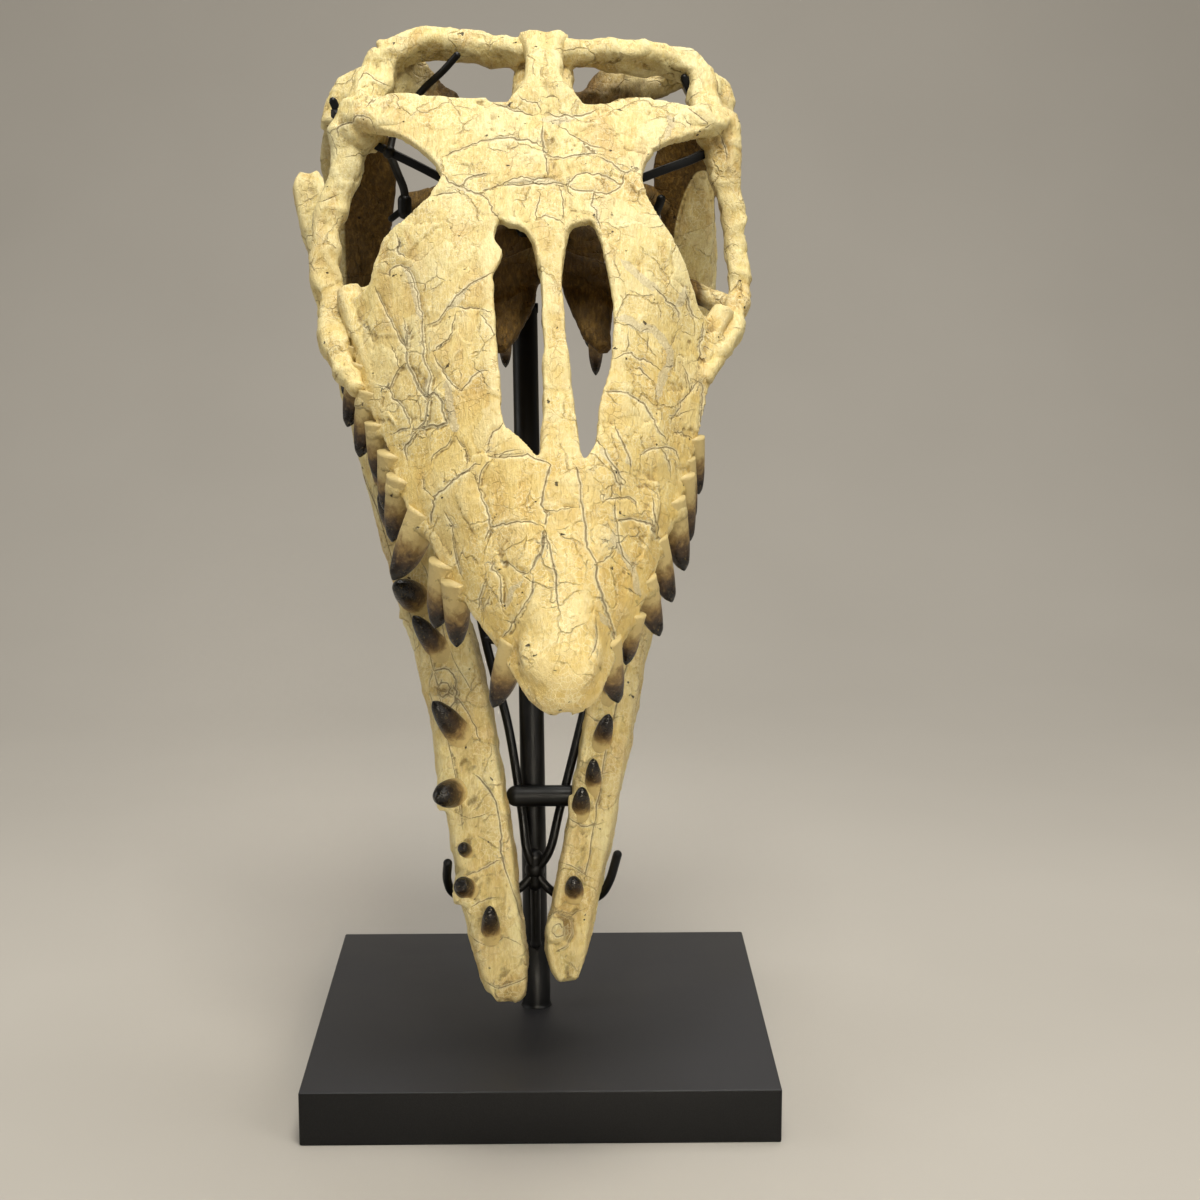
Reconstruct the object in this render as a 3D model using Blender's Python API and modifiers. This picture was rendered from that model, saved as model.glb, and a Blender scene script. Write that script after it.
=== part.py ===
"""Fossil mosasaur skull on a black steel stand.

World frame: metres, +Z up, the viewer at -Y, the origin under the middle of the plinth.
The bones are laid out in two frames of their own, in millimetres:
  skull frame  (s, t, w)  s back from the tip of the snout, t to the viewer's right, w up off the roof
  jaw frame    (m, x, h)  m back from the tips of the jaws, x to the viewer's right, h up off the tooth row
"""

import math

import bmesh
import bpy
import numpy as np
from mathutils import Matrix, Vector

MM = 0.001

# Stand
PLINTH_SIDE = 0.400
PLINTH_HEIGHT = 0.0465
PLINTH_EDGE = 0.0015
SOCKET_RADIUS = 0.0127
SOCKET_HEIGHT = 0.065
POST_RADIUS = 0.0111
POST_FOOT = Vector((-0.0054, 0.0, PLINTH_HEIGHT))
POST_TOP = Vector((-0.0128, 0.0, 0.697))
POST_NECK_RADIUS = 0.0082
POST_NECK_LENGTH = 0.016
PIN_RADIUS = 0.0046
PIN_HEIGHT = 0.6797
PIN_REACH = 0.0120
CLEARANCE = 0.0003
GAP = 0.0008
WELD = 0.00002

# Frames of the bones
SNOUT_TIP = Vector((0.021, -0.380, 0.414))
PARIETAL_REAR = Vector((0.006, 0.064, 0.910))
JAW_TIP = Vector((0.0, -0.108, 0.088))
JAW_REAR = Vector((0.0, 0.160, 0.803))

# Sizes of the solids' mesh
CRANIUM_VOXEL = 0.0040
SMALL_VOXEL = 0.0030
CRANIUM_TRIANGLES = 4500
JAW_TRIANGLES = 1000
SMALL_TRIANGLES = 300


def bone_frame(origin, rear):
    """Columns: across, back and up of a bone frame whose second axis runs from origin to rear."""
    back = (rear - origin).normalized()
    across = back.cross(Vector((0, 0, 1))).normalized()
    up = across.cross(back)
    matrix = Matrix((across, back, up)).transposed().to_4x4()
    matrix.translation = origin
    return matrix @ Matrix.Scale(MM, 4)


SKULL = bone_frame(SNOUT_TIP, PARIETAL_REAR)
JAW = bone_frame(JAW_TIP, JAW_REAR)


def place(frame, along, across, up):
    return frame @ Vector((across, along, up))


def material(name, rgb, roughness, metallic=0.0):
    made = bpy.data.materials.new(name)
    made.use_nodes = True
    shader = made.node_tree.nodes["Principled BSDF"]
    shader.inputs["Base Color"].default_value = (*rgb, 1)
    shader.inputs["Roughness"].default_value = roughness
    shader.inputs["Metallic"].default_value = metallic
    return made


def collection(name, hidden=False):
    made = bpy.data.collections.new(name)
    bpy.context.scene.collection.children.link(made)
    made.hide_render = hidden
    return made


def add_mesh(name, mesh_code, group, finish=None):
    mesh = bpy.data.meshes.new(name)
    mesh_code.to_mesh(mesh)
    mesh_code.free()
    made = bpy.data.objects.new(name, mesh)
    group.objects.link(made)
    if finish:
        mesh.materials.append(finish)
    return made


def smooth_path(points, steps):
    """Catmull-Rom curve through rows of numbers, with the given steps between each two."""
    rows = np.array(points, float)
    rows = np.vstack([2 * rows[0] - rows[1], rows, 2 * rows[-1] - rows[-2]])
    found = []
    for i in range(1, len(rows) - 2):
        before, start, end, after = rows[i - 1 : i + 3]
        for k in range(steps):
            u = k / steps
            found.append(
                0.5
                * (
                    2 * start
                    + (end - before) * u
                    + (2 * before - 5 * start + 4 * end - after) * u * u
                    + (3 * start - before - 3 * end + after) * u**3
                )
            )
    found.append(rows[-2])
    return np.array(found)


def ring_frame(centres, i, up):
    """Side and up directions of the section at centre i of a path."""
    ahead = centres[min(i + 1, len(centres) - 1)] - centres[max(i - 1, 0)]
    side = Vector(ahead).cross(up).normalized()
    return side, side.cross(Vector(ahead)).normalized()


def loft(bm, frame, stations, up=(0, 0, 1), sides=10, steps=4, squareness=2.4):
    """A closed bone through stations of (along, across, up, half width, half height), with rounded ends.

    The section's height runs towards the frame direction up, given as (across, along, up).
    """
    rows = smooth_path(stations, steps)
    centres = [Vector((row[1], row[0], row[2])) for row in rows]
    rings = []
    for i, row in enumerate(rows):
        side, top = ring_frame(centres, i, Vector(up))
        ring = []
        for k in range(sides):
            turn = 2 * math.pi * k / sides
            cos, sin = math.cos(turn), math.sin(turn)
            wide = math.copysign(abs(cos) ** (2 / squareness), cos) * row[3]
            high = math.copysign(abs(sin) ** (2 / squareness), sin) * row[4]
            ring.append(bm.verts.new(frame @ (centres[i] + side * wide + top * high)))
        rings.append(ring)
    for first, second in zip(rings, rings[1:]):
        for k in range(sides):
            following = (k + 1) % sides
            bm.faces.new((first[k], first[following], second[following], second[k]))
    bm.faces.new(reversed(rings[0]))
    bm.faces.new(rings[-1])


def tooth(bm, frame, base, tip, radius, bow=0.0, sides=8):
    """A curved cone from base to tip, in frame coordinates (along, across, up), bowed towards +up."""
    base, tip = np.array(base, float), np.array(tip, float)
    middle = (base + tip) / 2 + np.array((0, 0, bow))
    sunk = base - (tip - base) * 0.25
    near_tip = tip + (middle - tip) * 0.35
    stations = [
        (*sunk, radius, radius),
        (*base, radius, radius),
        (*middle, radius * 0.82, radius * 0.82),
        (*near_tip, radius * 0.5, radius * 0.5),
        (*tip, radius * 0.15, radius * 0.15),
    ]
    loft(bm, frame, stations, up=(0.3, 0.2, 1), sides=sides, steps=3, squareness=2.0)


# Cranium
ROOF_STATIONS = [  # s, half width to the left and right, depth of the side, height of the midline
    (0, 12, 12, 7, -10),
    (10, 24, 23, 13, -2),
    (26, 32, 30, 22, 4),
    (44, 40, 37, 34, 8),
    (60, 45, 43, 42, 10),
    (90, 63, 57, 46, 12),
    (120, 78, 68, 50, 13),
    (160, 96, 82, 54, 15),
    (200, 118, 96, 58, 16),
    (250, 131, 112, 62, 17),
    (300, 148, 123, 66, 18),
    (350, 162, 134, 70, 19),
    (395, 170, 148, 70, 20),
    (440, 174, 156, 56, 20),
    (490, 178, 166, 34, 19),
    (540, 186, 172, 22, 17),
    (600, 192, 176, 18, 12),
]
ROOF_OUTLINE = [  # s, t around the snout, the plates in front of the eyes and the frontal
    (-12, -40), (30, -60), (120, -110), (230, -170), (392, -200), (404, -178),
    (410, -152), (428, -145), (446, -138), (457, -123), (473, -103), (482, -98),
    (498, -91), (520, -101), (546, -126), (556, -142), (574, -152), (592, -146),
    (596, -126), (588, -88), (588, -56), (580, -40), (578, 40), (590, 62),
    (588, 88), (584, 118), (574, 136), (556, 134), (546, 116), (526, 88),
    (500, 77), (484, 79), (466, 84), (448, 94), (436, 102), (418, 111),
    (402, 117), (386, 124), (374, 148), (386, 190), (230, 160), (120, 110),
    (30, 60), (-12, 40),
]
LEFT_NARIS = [
    (446, -43), (438, -36), (433, -24), (420, -16), (400, -12), (386, -10), (330, -10),
    (250, -11), (206, -14), (216, -22), (228, -31), (240, -40), (275, -44), (330, -47),
    (372, -48), (386, -49), (400, -42), (412, -40), (424, -46),
]
RIGHT_NARIS = [
    (442, 33), (437, 20), (432, 13), (408, 10), (388, 8), (356, 8), (310, 10), (276, 11),
    (249, 14), (206, 18), (216, 26), (228, 30), (248, 32), (268, 35), (308, 45), (345, 48),
    (372, 47), (400, 43), (422, 39),
]
ROOF_WALL = 8
ROOF_SIDES = 33
ROOF_STEP = 11


def roof_row(s):
    table = np.array(ROOF_STATIONS, float)
    return [np.interp(s, table[:, 0], table[:, k]) for k in range(1, 5)]


def roof_height(s, t, inset=0.0):
    """Height of the roof's outer face, or of a face that lies inset millimetres inside it."""
    left, right, depth, crown = roof_row(s)
    share = abs(t) / max((left if t < 0 else right) - inset, 1.0)
    return crown - inset - depth * min(share, 1.0) ** 2.6


def roof_slab(group):
    """The roof of the skull before it is cut to its outline: an arch on a flat foot along each side."""
    bm = bmesh.new()
    rings = []
    for s in np.arange(0, ROOF_STATIONS[-1][0] + ROOF_STEP, ROOF_STEP):
        left, right, depth, crown = roof_row(s)
        shares = np.sin(np.linspace(-1, 1, ROOF_SIDES) * math.pi / 2)
        outer = [(-left if u < 0 else right) * abs(u) for u in shares]
        inner = [t * (1 - ROOF_WALL / max(left, right, 12)) for t in reversed(outer)]
        foot = crown - depth - 2
        ring = [place(SKULL, s, t, roof_height(s, t)) for t in outer]
        ring += [place(SKULL, s, t, max(roof_height(s, t, ROOF_WALL), foot - 4)) for t in inner]
        rings.append([bm.verts.new(point) for point in ring])
    for first, second in zip(rings, rings[1:]):
        for k, _ in enumerate(first):
            following = (k + 1) % len(first)
            bm.faces.new((first[k], second[k], second[following], first[following]))
    bm.faces.new(rings[0])
    bm.faces.new(reversed(rings[-1]))
    bmesh.ops.recalc_face_normals(bm, faces=bm.faces)
    return add_mesh("roof_slab", bm, group)


def prism(name, outline, group, low=-160, high=60):
    """An upright block of the skull frame over an outline of (s, t)."""
    bm = bmesh.new()
    face = bm.faces.new([bm.verts.new(place(SKULL, s, t, low)) for s, t in outline])
    raised = bmesh.ops.extrude_face_region(bm, geom=[face])["geom"]
    tops = [item for item in raised if isinstance(item, bmesh.types.BMVert)]
    shift = place(SKULL, 0, 0, high) - place(SKULL, 0, 0, low)
    bmesh.ops.translate(bm, verts=tops, vec=shift)
    bmesh.ops.recalc_face_normals(bm, faces=bm.faces)
    made = add_mesh(name, bm, group)
    made.display_type = "WIRE"
    return made


def cut(target, cutter, operation):
    modifier = target.modifiers.new(cutter.name, "BOOLEAN")
    modifier.object = cutter
    modifier.operation = operation


def cut_roof(group):
    """The roof with its outline and its two nostrils cut, as mesh data."""
    slab = roof_slab(group)
    cut(slab, prism("roof_outline", ROOF_OUTLINE, group), "INTERSECT")
    cut(slab, prism("left_naris", LEFT_NARIS, group), "DIFFERENCE")
    cut(slab, prism("right_naris", RIGHT_NARIS, group), "DIFFERENCE")
    bpy.context.view_layer.update()
    graph = bpy.context.evaluated_depsgraph_get()
    return bpy.data.meshes.new_from_object(slab.evaluated_get(graph))


CRANIUM_BONES = {
    "snout_tip": [(13, 0, -12, 12, 8), (26, 0, -12, 24, 14), (46, -2, -14, 32, 20), (74, -2, -18, 34, 18)],
    "palate_floor": [
        (50, -2, -26, 34, 8), (110, -4, -24, 60, 8), (170, -5, -20, 80, 8), (205, -4, -12, 84, 7),
    ],
    "internarial_bar": [
        (196, 2, 8, 17, 8), (249, 1, 9, 13, 9), (310, 0, 10, 10, 9), (356, -1, 11, 9, 9),
        (392, -2, 11, 10, 9), (414, -2, 12, 13, 8), (438, -2, 12, 19, 7),
    ],
    "vomer": [(120, 0, -34, 9, 6), (260, 0, -40, 7, 8), (400, -1, -44, 7, 9), (470, -1, -40, 10, 10)],
    "left_rim": [
        (56, -36, -34, 8, 9), (110, -66, -40, 10, 11), (200, -108, -44, 10, 12), (300, -138, -50, 10, 12),
        (392, -160, -52, 11, 13), (424, -168, -52, 10, 12),
    ],
    "right_rim": [
        (56, 34, -34, 8, 9), (110, 56, -40, 10, 11), (200, 86, -44, 10, 12), (300, 112, -50, 10, 12),
        (374, 132, -50, 10, 12), (400, 144, -48, 9, 11),
    ],
    "parietal": [
        (562, -2, 10, 40, 5), (584, -2, 10, 30, 8), (604, -2, 8, 18, 12), (640, -2, 8, 17, 12),
        (662, -2, 2, 24, 13),
    ],
    "braincase": [
        (545, -2, -26, 26, 30), (600, -2, -34, 28, 36), (650, -2, -44, 26, 34), (672, -2, -56, 15, 16),
    ],
    "left_arch": [
        (650, -4, 2, 11, 12), (664, -40, -4, 11, 11), (676, -78, -10, 12, 12), (678, -106, -12, 16, 13),
        (664, -134, -18, 18, 15), (644, -158, -24, 20, 18),
    ],
    "right_arch": [
        (650, 0, 2, 12, 13), (660, 32, -4, 13, 12), (658, 70, -10, 12, 12), (650, 108, -14, 12, 12),
        (640, 132, -20, 16, 14), (618, 148, -24, 16, 16),
    ],
    "left_temporal_bar": [
        (662, -148, -26, 14, 15), (628, -164, -30, 20, 18), (600, -172, -28, 24, 18), (574, -166, -22, 24, 15),
        (556, -146, -8, 18, 9),
    ],
    "right_temporal_bar": [
        (640, 138, -26, 12, 14), (606, 144, -26, 12, 14), (580, 150, -24, 15, 14), (560, 148, -16, 18, 13),
        (548, 128, -6, 16, 9),
    ],
    "left_jugal": [
        (560, -172, -36, 18, 12), (530, -178, -46, 15, 10), (498, -190, -56, 12, 9), (460, -189, -66, 12, 10),
        (430, -184, -70, 13, 12), (400, -178, -68, 14, 12), (372, -178, -60, 13, 10), (350, -178, -56, 10, 9),
    ],
    "right_jugal": [
        (560, 150, -26, 16, 12), (534, 155, -40, 12, 9), (500, 160, -54, 8, 8), (466, 162, -62, 9, 8),
        (434, 161, -66, 9, 8), (410, 155, -64, 10, 9), (384, 147, -56, 11, 10), (356, 136, -50, 8, 8),
    ],
    "left_postorbital": [
        (562, -112, 3, 16, 6), (574, -138, -1, 22, 9), (588, -162, -12, 24, 12), (606, -178, -26, 18, 14),
    ],
    "right_postorbital": [
        (560, 104, 3, 16, 6), (570, 128, -1, 20, 9), (582, 146, -10, 20, 11), (598, 154, -24, 14, 12),
    ],
    "left_squamosal_knob": [(650, -152, -40, 18, 16), (640, -176, -52, 18, 16), (616, -186, -60, 12, 14)],
    "right_squamosal_knob": [(650, 134, -36, 15, 14), (650, 152, -52, 16, 15), (628, 158, -60, 10, 12)],
    "left_strut": [
        (668, -140, -40, 14, 10), (670, -116, -44, 24, 8), (656, -90, -64, 20, 8), (636, -56, -82, 14, 9),
        (628, -16, -78, 14, 14),
    ],
    "right_strut": [
        (668, 132, -34, 14, 10), (672, 104, -44, 26, 8), (662, 66, -56, 24, 9), (646, 36, -64, 16, 10),
        (640, 10, -60, 14, 14),
    ],
    "left_pterygoid": [
        (372, -42, -64, 5, 6), (400, -36, -68, 13, 7), (450, -30, -70, 20, 8), (500, -30, -72, 19, 9),
        (548, -40, -80, 15, 9), (574, -66, -94, 13, 9), (584, -96, -110, 12, 9), (584, -124, -122, 11, 8),
    ],
    "right_pterygoid": [
        (372, 44, -64, 5, 6), (400, 38, -68, 14, 7), (450, 30, -70, 20, 8), (500, 28, -72, 19, 9),
        (548, 36, -80, 15, 9), (574, 58, -94, 13, 9), (584, 86, -110, 12, 9), (584, 112, -122, 11, 8),
    ],
    "left_palatine": [
        (378, -158, -54, 8, 7), (406, -110, -60, 14, 7), (438, -60, -66, 18, 8), (462, -6, -58, 16, 9),
    ],
    "right_palatine": [
        (376, 138, -52, 8, 7), (408, 98, -58, 14, 7), (440, 56, -66, 18, 8), (462, 2, -58, 16, 9),
    ],
    "left_ectopterygoid": [
        (428, -178, -72, 8, 9), (452, -134, -78, 8, 7), (478, -84, -76, 9, 7), (504, -40, -76, 9, 8),
    ],
    "right_ectopterygoid": [
        (420, 154, -68, 8, 9), (450, 116, -76, 8, 7), (480, 74, -76, 9, 7), (504, 34, -76, 9, 8),
    ],
    "basicranial_link": [(572, -58, -90, 8, 8), (592, -2, -74, 12, 14), (572, 52, -90, 8, 8)],
}
TEETH_ON_MARGIN = [  # base (s, t, w), tip (s, t, w), radius
    ((362, -164, -62), (330, -172, -84), 9),
    ((340, -158, -60), (303, -171, -92), 11),
    ((310, -149, -58), (272, -160, -92), 11),
    ((280, -142, -56), (250, -143, -88), 9),
    ((248, -130, -54), (218, -136, -90), 11),
    ((222, -122, -52), (190, -132, -92), 12),
    ((186, -108, -50), (150, -134, -86), 13),
    ((140, -88, -48), (107, -97, -88), 12),
    ((122, -78, -46), (90, -79, -88), 11),
    ((62, -38, -36), (38, -50, -66), 9),
    ((262, 112, -54), (232, 117, -88), 8),
    ((240, 104, -54), (208, 112, -90), 8),
    ((222, 101, -52), (188, 108, -92), 9),
    ((196, 90, -50), (158, 103, -90), 12),
    ((160, 76, -48), (128, 92, -86), 11),
    ((124, 66, -46), (96, 80, -82), 10),
    ((92, 54, -42), (66, 48, -72), 8),
    ((64, 34, -36), (44, 42, -74), 10),
    ((396, 38, -70), (372, 38, -98), 7),
    ((424, 32, -74), (402, 33, -98), 6),
    ((396, -38, -70), (376, -38, -92), 6),
    ((424, -32, -74), (404, -33, -96), 6),
]


def cranium_code(roof):
    bm = bmesh.new()
    bm.from_mesh(roof)
    for stations in CRANIUM_BONES.values():
        loft(bm, SKULL, stations, sides=12)
    for base, tip, radius in TEETH_ON_MARGIN:
        tooth(bm, SKULL, base, tip, radius, bow=-5)
    return bm


# Lower jaws, with stations (m, x, h, half width, half height)
LEFT_JAW = [
    (2, -30, -18, 9, 9), (12, -29, -18, 17, 14), (30, -33, -19, 22, 18), (60, -38, -20, 24, 20),
    (98, -46, -21, 27, 21), (150, -53, -22, 28, 22), (200, -63, -24, 29, 24), (250, -70, -26, 28, 26),
    (300, -82, -28, 28, 28), (380, -106, -32, 27, 32), (450, -126, -36, 25, 36), (520, -146, -36, 23, 40),
    (580, -164, -34, 21, 42), (630, -178, -36, 22, 36), (680, -192, -34, 21, 28), (725, -206, -30, 20, 24),
    (752, -214, -28, 16, 20), (766, -216, -26, 8, 11),
]
RIGHT_JAW = [
    (20, 23, -16, 8, 9), (34, 22, -17, 15, 14), (58, 23, -18, 19, 18), (100, 32, -20, 19, 20),
    (150, 43, -21, 20, 21), (200, 52, -23, 21, 23), (250, 61, -25, 22, 25), (300, 71, -27, 22, 27),
    (380, 88, -31, 21, 31), (450, 104, -35, 20, 35), (520, 121, -35, 19, 38), (580, 134, -34, 18, 40),
    (630, 143, -34, 18, 34), (680, 146, -32, 17, 26), (725, 147, -28, 15, 22), (748, 149, -26, 10, 17),
    (760, 150, -24, 5, 9),
]
LEFT_CORONOID = [(520, -150, -6, 10, 8), (575, -164, 16, 9, 12), (615, -174, -6, 11, 10)]
RIGHT_CORONOID = [(520, 116, -6, 10, 8), (575, 128, 16, 9, 12), (615, 136, -6, 11, 10)]
JAW_ROLL = (-0.30, 0, 1)
LEFT_JAW_TEETH = [  # base (m, x, h), tip, radius
    ((464, -140, -2), (486, -150, 22), 9),
    ((423, -131, -2), (448, -143, 26), 9),
    ((357, -112, -4), (364, -128, 30), 13),
    ((312, -92, -2), (336, -112, 26), 10),
    ((281, -84, -4), (284, -86, 6), 9),
    ((237, -74, -4), (260, -94, 26), 11),
    ((183, -78, -6), (176, -92, 18), 12),
    ((132, -66, -4), (136, -70, 8), 6),
    ((99, -66, -4), (104, -72, 10), 9),
    ((62, -44, -2), (83, -44, 20), 8),
]
RIGHT_JAW_TEETH = [
    ((272, 62, -2), (296, 70, 22), 8),
    ((230, 54, -2), (249, 60, 20), 8),
    ((191, 46, -2), (210, 46, 20), 7),
    ((168, 35, -2), (185, 36, 20), 8),
    ((96, 29, -3), (108, 28, 14), 8),
    ((62, 15, -6), (64, 14, 8), 8),
]
LEFT_QUADRATE = [
    (644, -168, 8, 20, 9), (672, -163, 16, 23, 9), (712, -161, 42, 30, 8), (744, -163, 62, 33, 9),
    (768, -165, 76, 27, 12), (782, -166, 82, 16, 9),
]
RIGHT_QUADRATE = [
    (646, 140, 8, 19, 9), (674, 137, 16, 21, 9), (714, 133, 42, 27, 8), (744, 133, 62, 30, 9),
    (764, 137, 76, 24, 12), (776, 140, 82, 14, 9),
]


def jaw_code(stations, coronoid, teeth):
    bm = bmesh.new()
    loft(bm, JAW, stations, up=JAW_ROLL, sides=14, squareness=2.8)
    loft(bm, JAW, coronoid)
    for base, tip, radius in teeth:
        tooth(bm, JAW, base, tip, radius, bow=3)
    return bm


def quadrate_code(stations):
    bm = bmesh.new()
    loft(bm, JAW, stations, sides=12, squareness=2.6)
    return bm


def organic(made, voxel, triangles):
    """Fuses a mesh's overlapping forms into one skin, thinned to about this number of triangles."""
    fuse = made.modifiers.new("fuse", "REMESH")
    fuse.mode = "VOXEL"
    fuse.voxel_size = voxel
    soften = made.modifiers.new("soften", "SMOOTH")
    soften.factor = 0.5
    soften.iterations = 1
    graph = bpy.context.evaluated_depsgraph_get()
    mesh = made.evaluated_get(graph).to_mesh()
    mesh.calc_loop_triangles()
    thin = made.modifiers.new("thin", "DECIMATE")
    thin.ratio = min(1.0, triangles / len(mesh.loop_triangles))
    thin.use_collapse_triangulate = True


def keep_off(target, neighbour, group):
    """Cuts the target back so that a gap of GAP is left around its neighbour."""
    graph = bpy.context.evaluated_depsgraph_get()
    mesh = bpy.data.meshes.new_from_object(neighbour.evaluated_get(graph))
    swollen = bpy.data.objects.new(f"{neighbour.name}_around", mesh)
    group.objects.link(swollen)
    swollen.matrix_world = neighbour.matrix_world
    swell = swollen.modifiers.new("swell", "DISPLACE")
    swell.strength = GAP
    swell.mid_level = 0
    cut(target, swollen, "DIFFERENCE")


# Bars of the stand, with routes in millimetres of the world frame: (route, radius, sides)
HUB = (-12.5, 0, 748)
SKULL_CRADLE = {
    "left_arm": (
        [HUB, (-83, 2, 790), (-137, 16, 817), (-166, 38, 832), (-176, 46, 846), (-181, 50, 859)], 5.2, 4,
    ),
    "right_arm": (
        [HUB, (87, 2, 789.5), (138, 18, 809), (152, 44, 822), (142, 62, 846), (128, 62, 878)], 5.2, 4,
    ),
    "riser": ([(-12.8, 0, 697.5), (-13, 0, 725), HUB], 5.8, 12),
    "left_rear_prong": (
        [(-128, 10, 812), (-124, 58, 838), (-104, 72, 866), (-84, 60, 883), (-71, 52, 896)], 3.2, 8,
    ),
    "left_drop_rod": ([(-128, 12, 812), (-124, 44, 796), (-119, 58, 780), (-119, 60, 762)], 3.6, 8),
    "drop_collar": ([(-119, 60, 771.5), (-119, 60, 761.5)], 6.2, 12),
    "drop_branch": ([(-119, 60, 765), (-131, 60, 756)], 3.0, 8),
    "drop_tail": ([(-118, 60, 765), (-115, 60, 748)], 3.2, 8),
}
JAW_CRADLE = {
    "left_rail": (
        [(-3, -24, 178), (-13, -26, 200), (-18, -16, 238), (-30, -2, 312), (-52, 22, 393),
         (-92, 58, 590), (-120, 70, 720), (-117, 60, 744)], 4.0, 8,
    ),
    "right_rail": (
        [(-9, -23.5, 177), (7, -26, 200), (17, -16, 238), (42, 0, 338), (58, 24, 420),
         (86, 58, 610), (100, 66, 740), (108, 60, 773)], 4.0, 8,
    ),
    "left_hook": (
        [(-2, -23.2, 186), (-20, -28, 166), (-48, -30, 154), (-76, -36, 163), (-83, -48, 180),
         (-82, -58, 199)], 4.0, 8,
    ),
    "right_hook": (
        [(-10, -22.8, 187), (6, -28, 166), (28, -30, 154), (50, -40, 162), (60, -52, 180),
         (67, -58, 206)], 4.0, 8,
    ),
    "weld": ([(-6, -23, 193), (-6, -23, 170)], 7.5, 8),
    "stem": ([(-6, -21, 184), (-5.6, -21, 150), (-5.4, -21, 112)], 4.5, 8),
    "cross_tube": ([(-22, -22.6, 250), (25, -22.6, 250)], 9.5, 12),
    "upper_cross": ([(-50, 19, 384), (-20, 19, 382), (52, 20, 392)], 3.6, 8),
}


def bar(name, route, radius, sides, group):
    """A closed bar along a smooth route in millimetres, round or with as many flats as it has sides."""
    curve = bpy.data.curves.new(name, "CURVE")
    curve.dimensions = "3D"
    curve.bevel_depth = radius * MM
    curve.bevel_resolution = (sides - 4) // 2
    curve.use_fill_caps = True
    points = smooth_path(route, 1 if len(route) < 4 else 2) * MM
    spline = curve.splines.new("POLY")
    spline.points.add(len(points) - 1)
    for knot, point in zip(spline.points, points):
        knot.co = (*point, 1)
        knot.tilt = math.pi / sides
    drawn = bpy.data.objects.new(name, curve)
    group.objects.link(drawn)
    bpy.context.view_layer.update()
    graph = bpy.context.evaluated_depsgraph_get()
    bm = bmesh.new()
    bm.from_mesh(drawn.evaluated_get(graph).to_mesh())
    bmesh.ops.remove_doubles(bm, verts=bm.verts, dist=WELD)
    bmesh.ops.recalc_face_normals(bm, faces=bm.faces)
    bpy.data.objects.remove(drawn, do_unlink=True)
    return add_mesh(name, bm, group)


def cradle(name, bars, model, helpers, finish):
    """Bars welded into one piece."""
    first, *others = bars
    made = bar(name, *bars[first], model)
    made.data.materials.append(finish)
    for key in others:
        cut(made, bar(f"{name}_{key}", *bars[key], helpers), "UNION")
    return made


def turned(name, foot, top, profile, group, finish):
    """A turned piece along the line from foot to top: profile holds (height, radius) down its outer side."""
    bm = bmesh.new()
    points = [bm.verts.new((radius, 0, height)) for height, radius in profile]
    for a, b in zip(points, points[1:]):
        bm.edges.new((a, b))
    made = add_mesh(name, bm, group, finish)
    made.location = foot
    made.rotation_mode = "QUATERNION"
    made.rotation_quaternion = (top - foot).to_track_quat("Z", "Y")
    screw = made.modifiers.new("turn", "SCREW")
    screw.steps = screw.render_steps = 24
    screw.use_merge_vertices = True
    screw.merge_threshold = WELD
    return made


def plinth(group, finish):
    bm = bmesh.new()
    bmesh.ops.create_cube(bm, size=1.0)
    bmesh.ops.scale(bm, vec=(PLINTH_SIDE, PLINTH_SIDE, PLINTH_HEIGHT), verts=bm.verts)
    bmesh.ops.translate(bm, vec=(0, 0, PLINTH_HEIGHT / 2), verts=bm.verts)
    made = add_mesh("plinth", bm, group, finish)
    edge = made.modifiers.new("edge", "BEVEL")
    edge.width = PLINTH_EDGE
    edge.segments = 2
    return made


def post(model, helpers, finish):
    """The post with its narrower neck and its clamping pin, and the socket round its foot."""
    foot = POST_FOOT + (POST_TOP - POST_FOOT).normalized() * CLEARANCE
    inner = POST_RADIUS + CLEARANCE
    top = foot + (POST_TOP - POST_FOOT).normalized() * SOCKET_HEIGHT
    section = [
        (0, inner), (SOCKET_HEIGHT, inner), (SOCKET_HEIGHT, SOCKET_RADIUS), (0, SOCKET_RADIUS), (0, inner),
    ]
    turned("post_socket", foot, top, section, model, finish)
    length = (POST_TOP - foot).length
    step = length - POST_NECK_LENGTH
    section = [
        (length, 0), (length, POST_NECK_RADIUS), (step, POST_NECK_RADIUS), (step, POST_RADIUS),
        (0, POST_RADIUS), (0, 0),
    ]
    made = turned("post", foot, POST_TOP, section, model, finish)
    start = (POST_TOP.x / MM, 0, PIN_HEIGHT / MM)
    end = ((POST_TOP.x + PIN_REACH) / MM, 0, PIN_HEIGHT / MM)
    cut(made, bar("post_pin", [start, end], PIN_RADIUS / MM, 12, helpers), "UNION")


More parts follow.
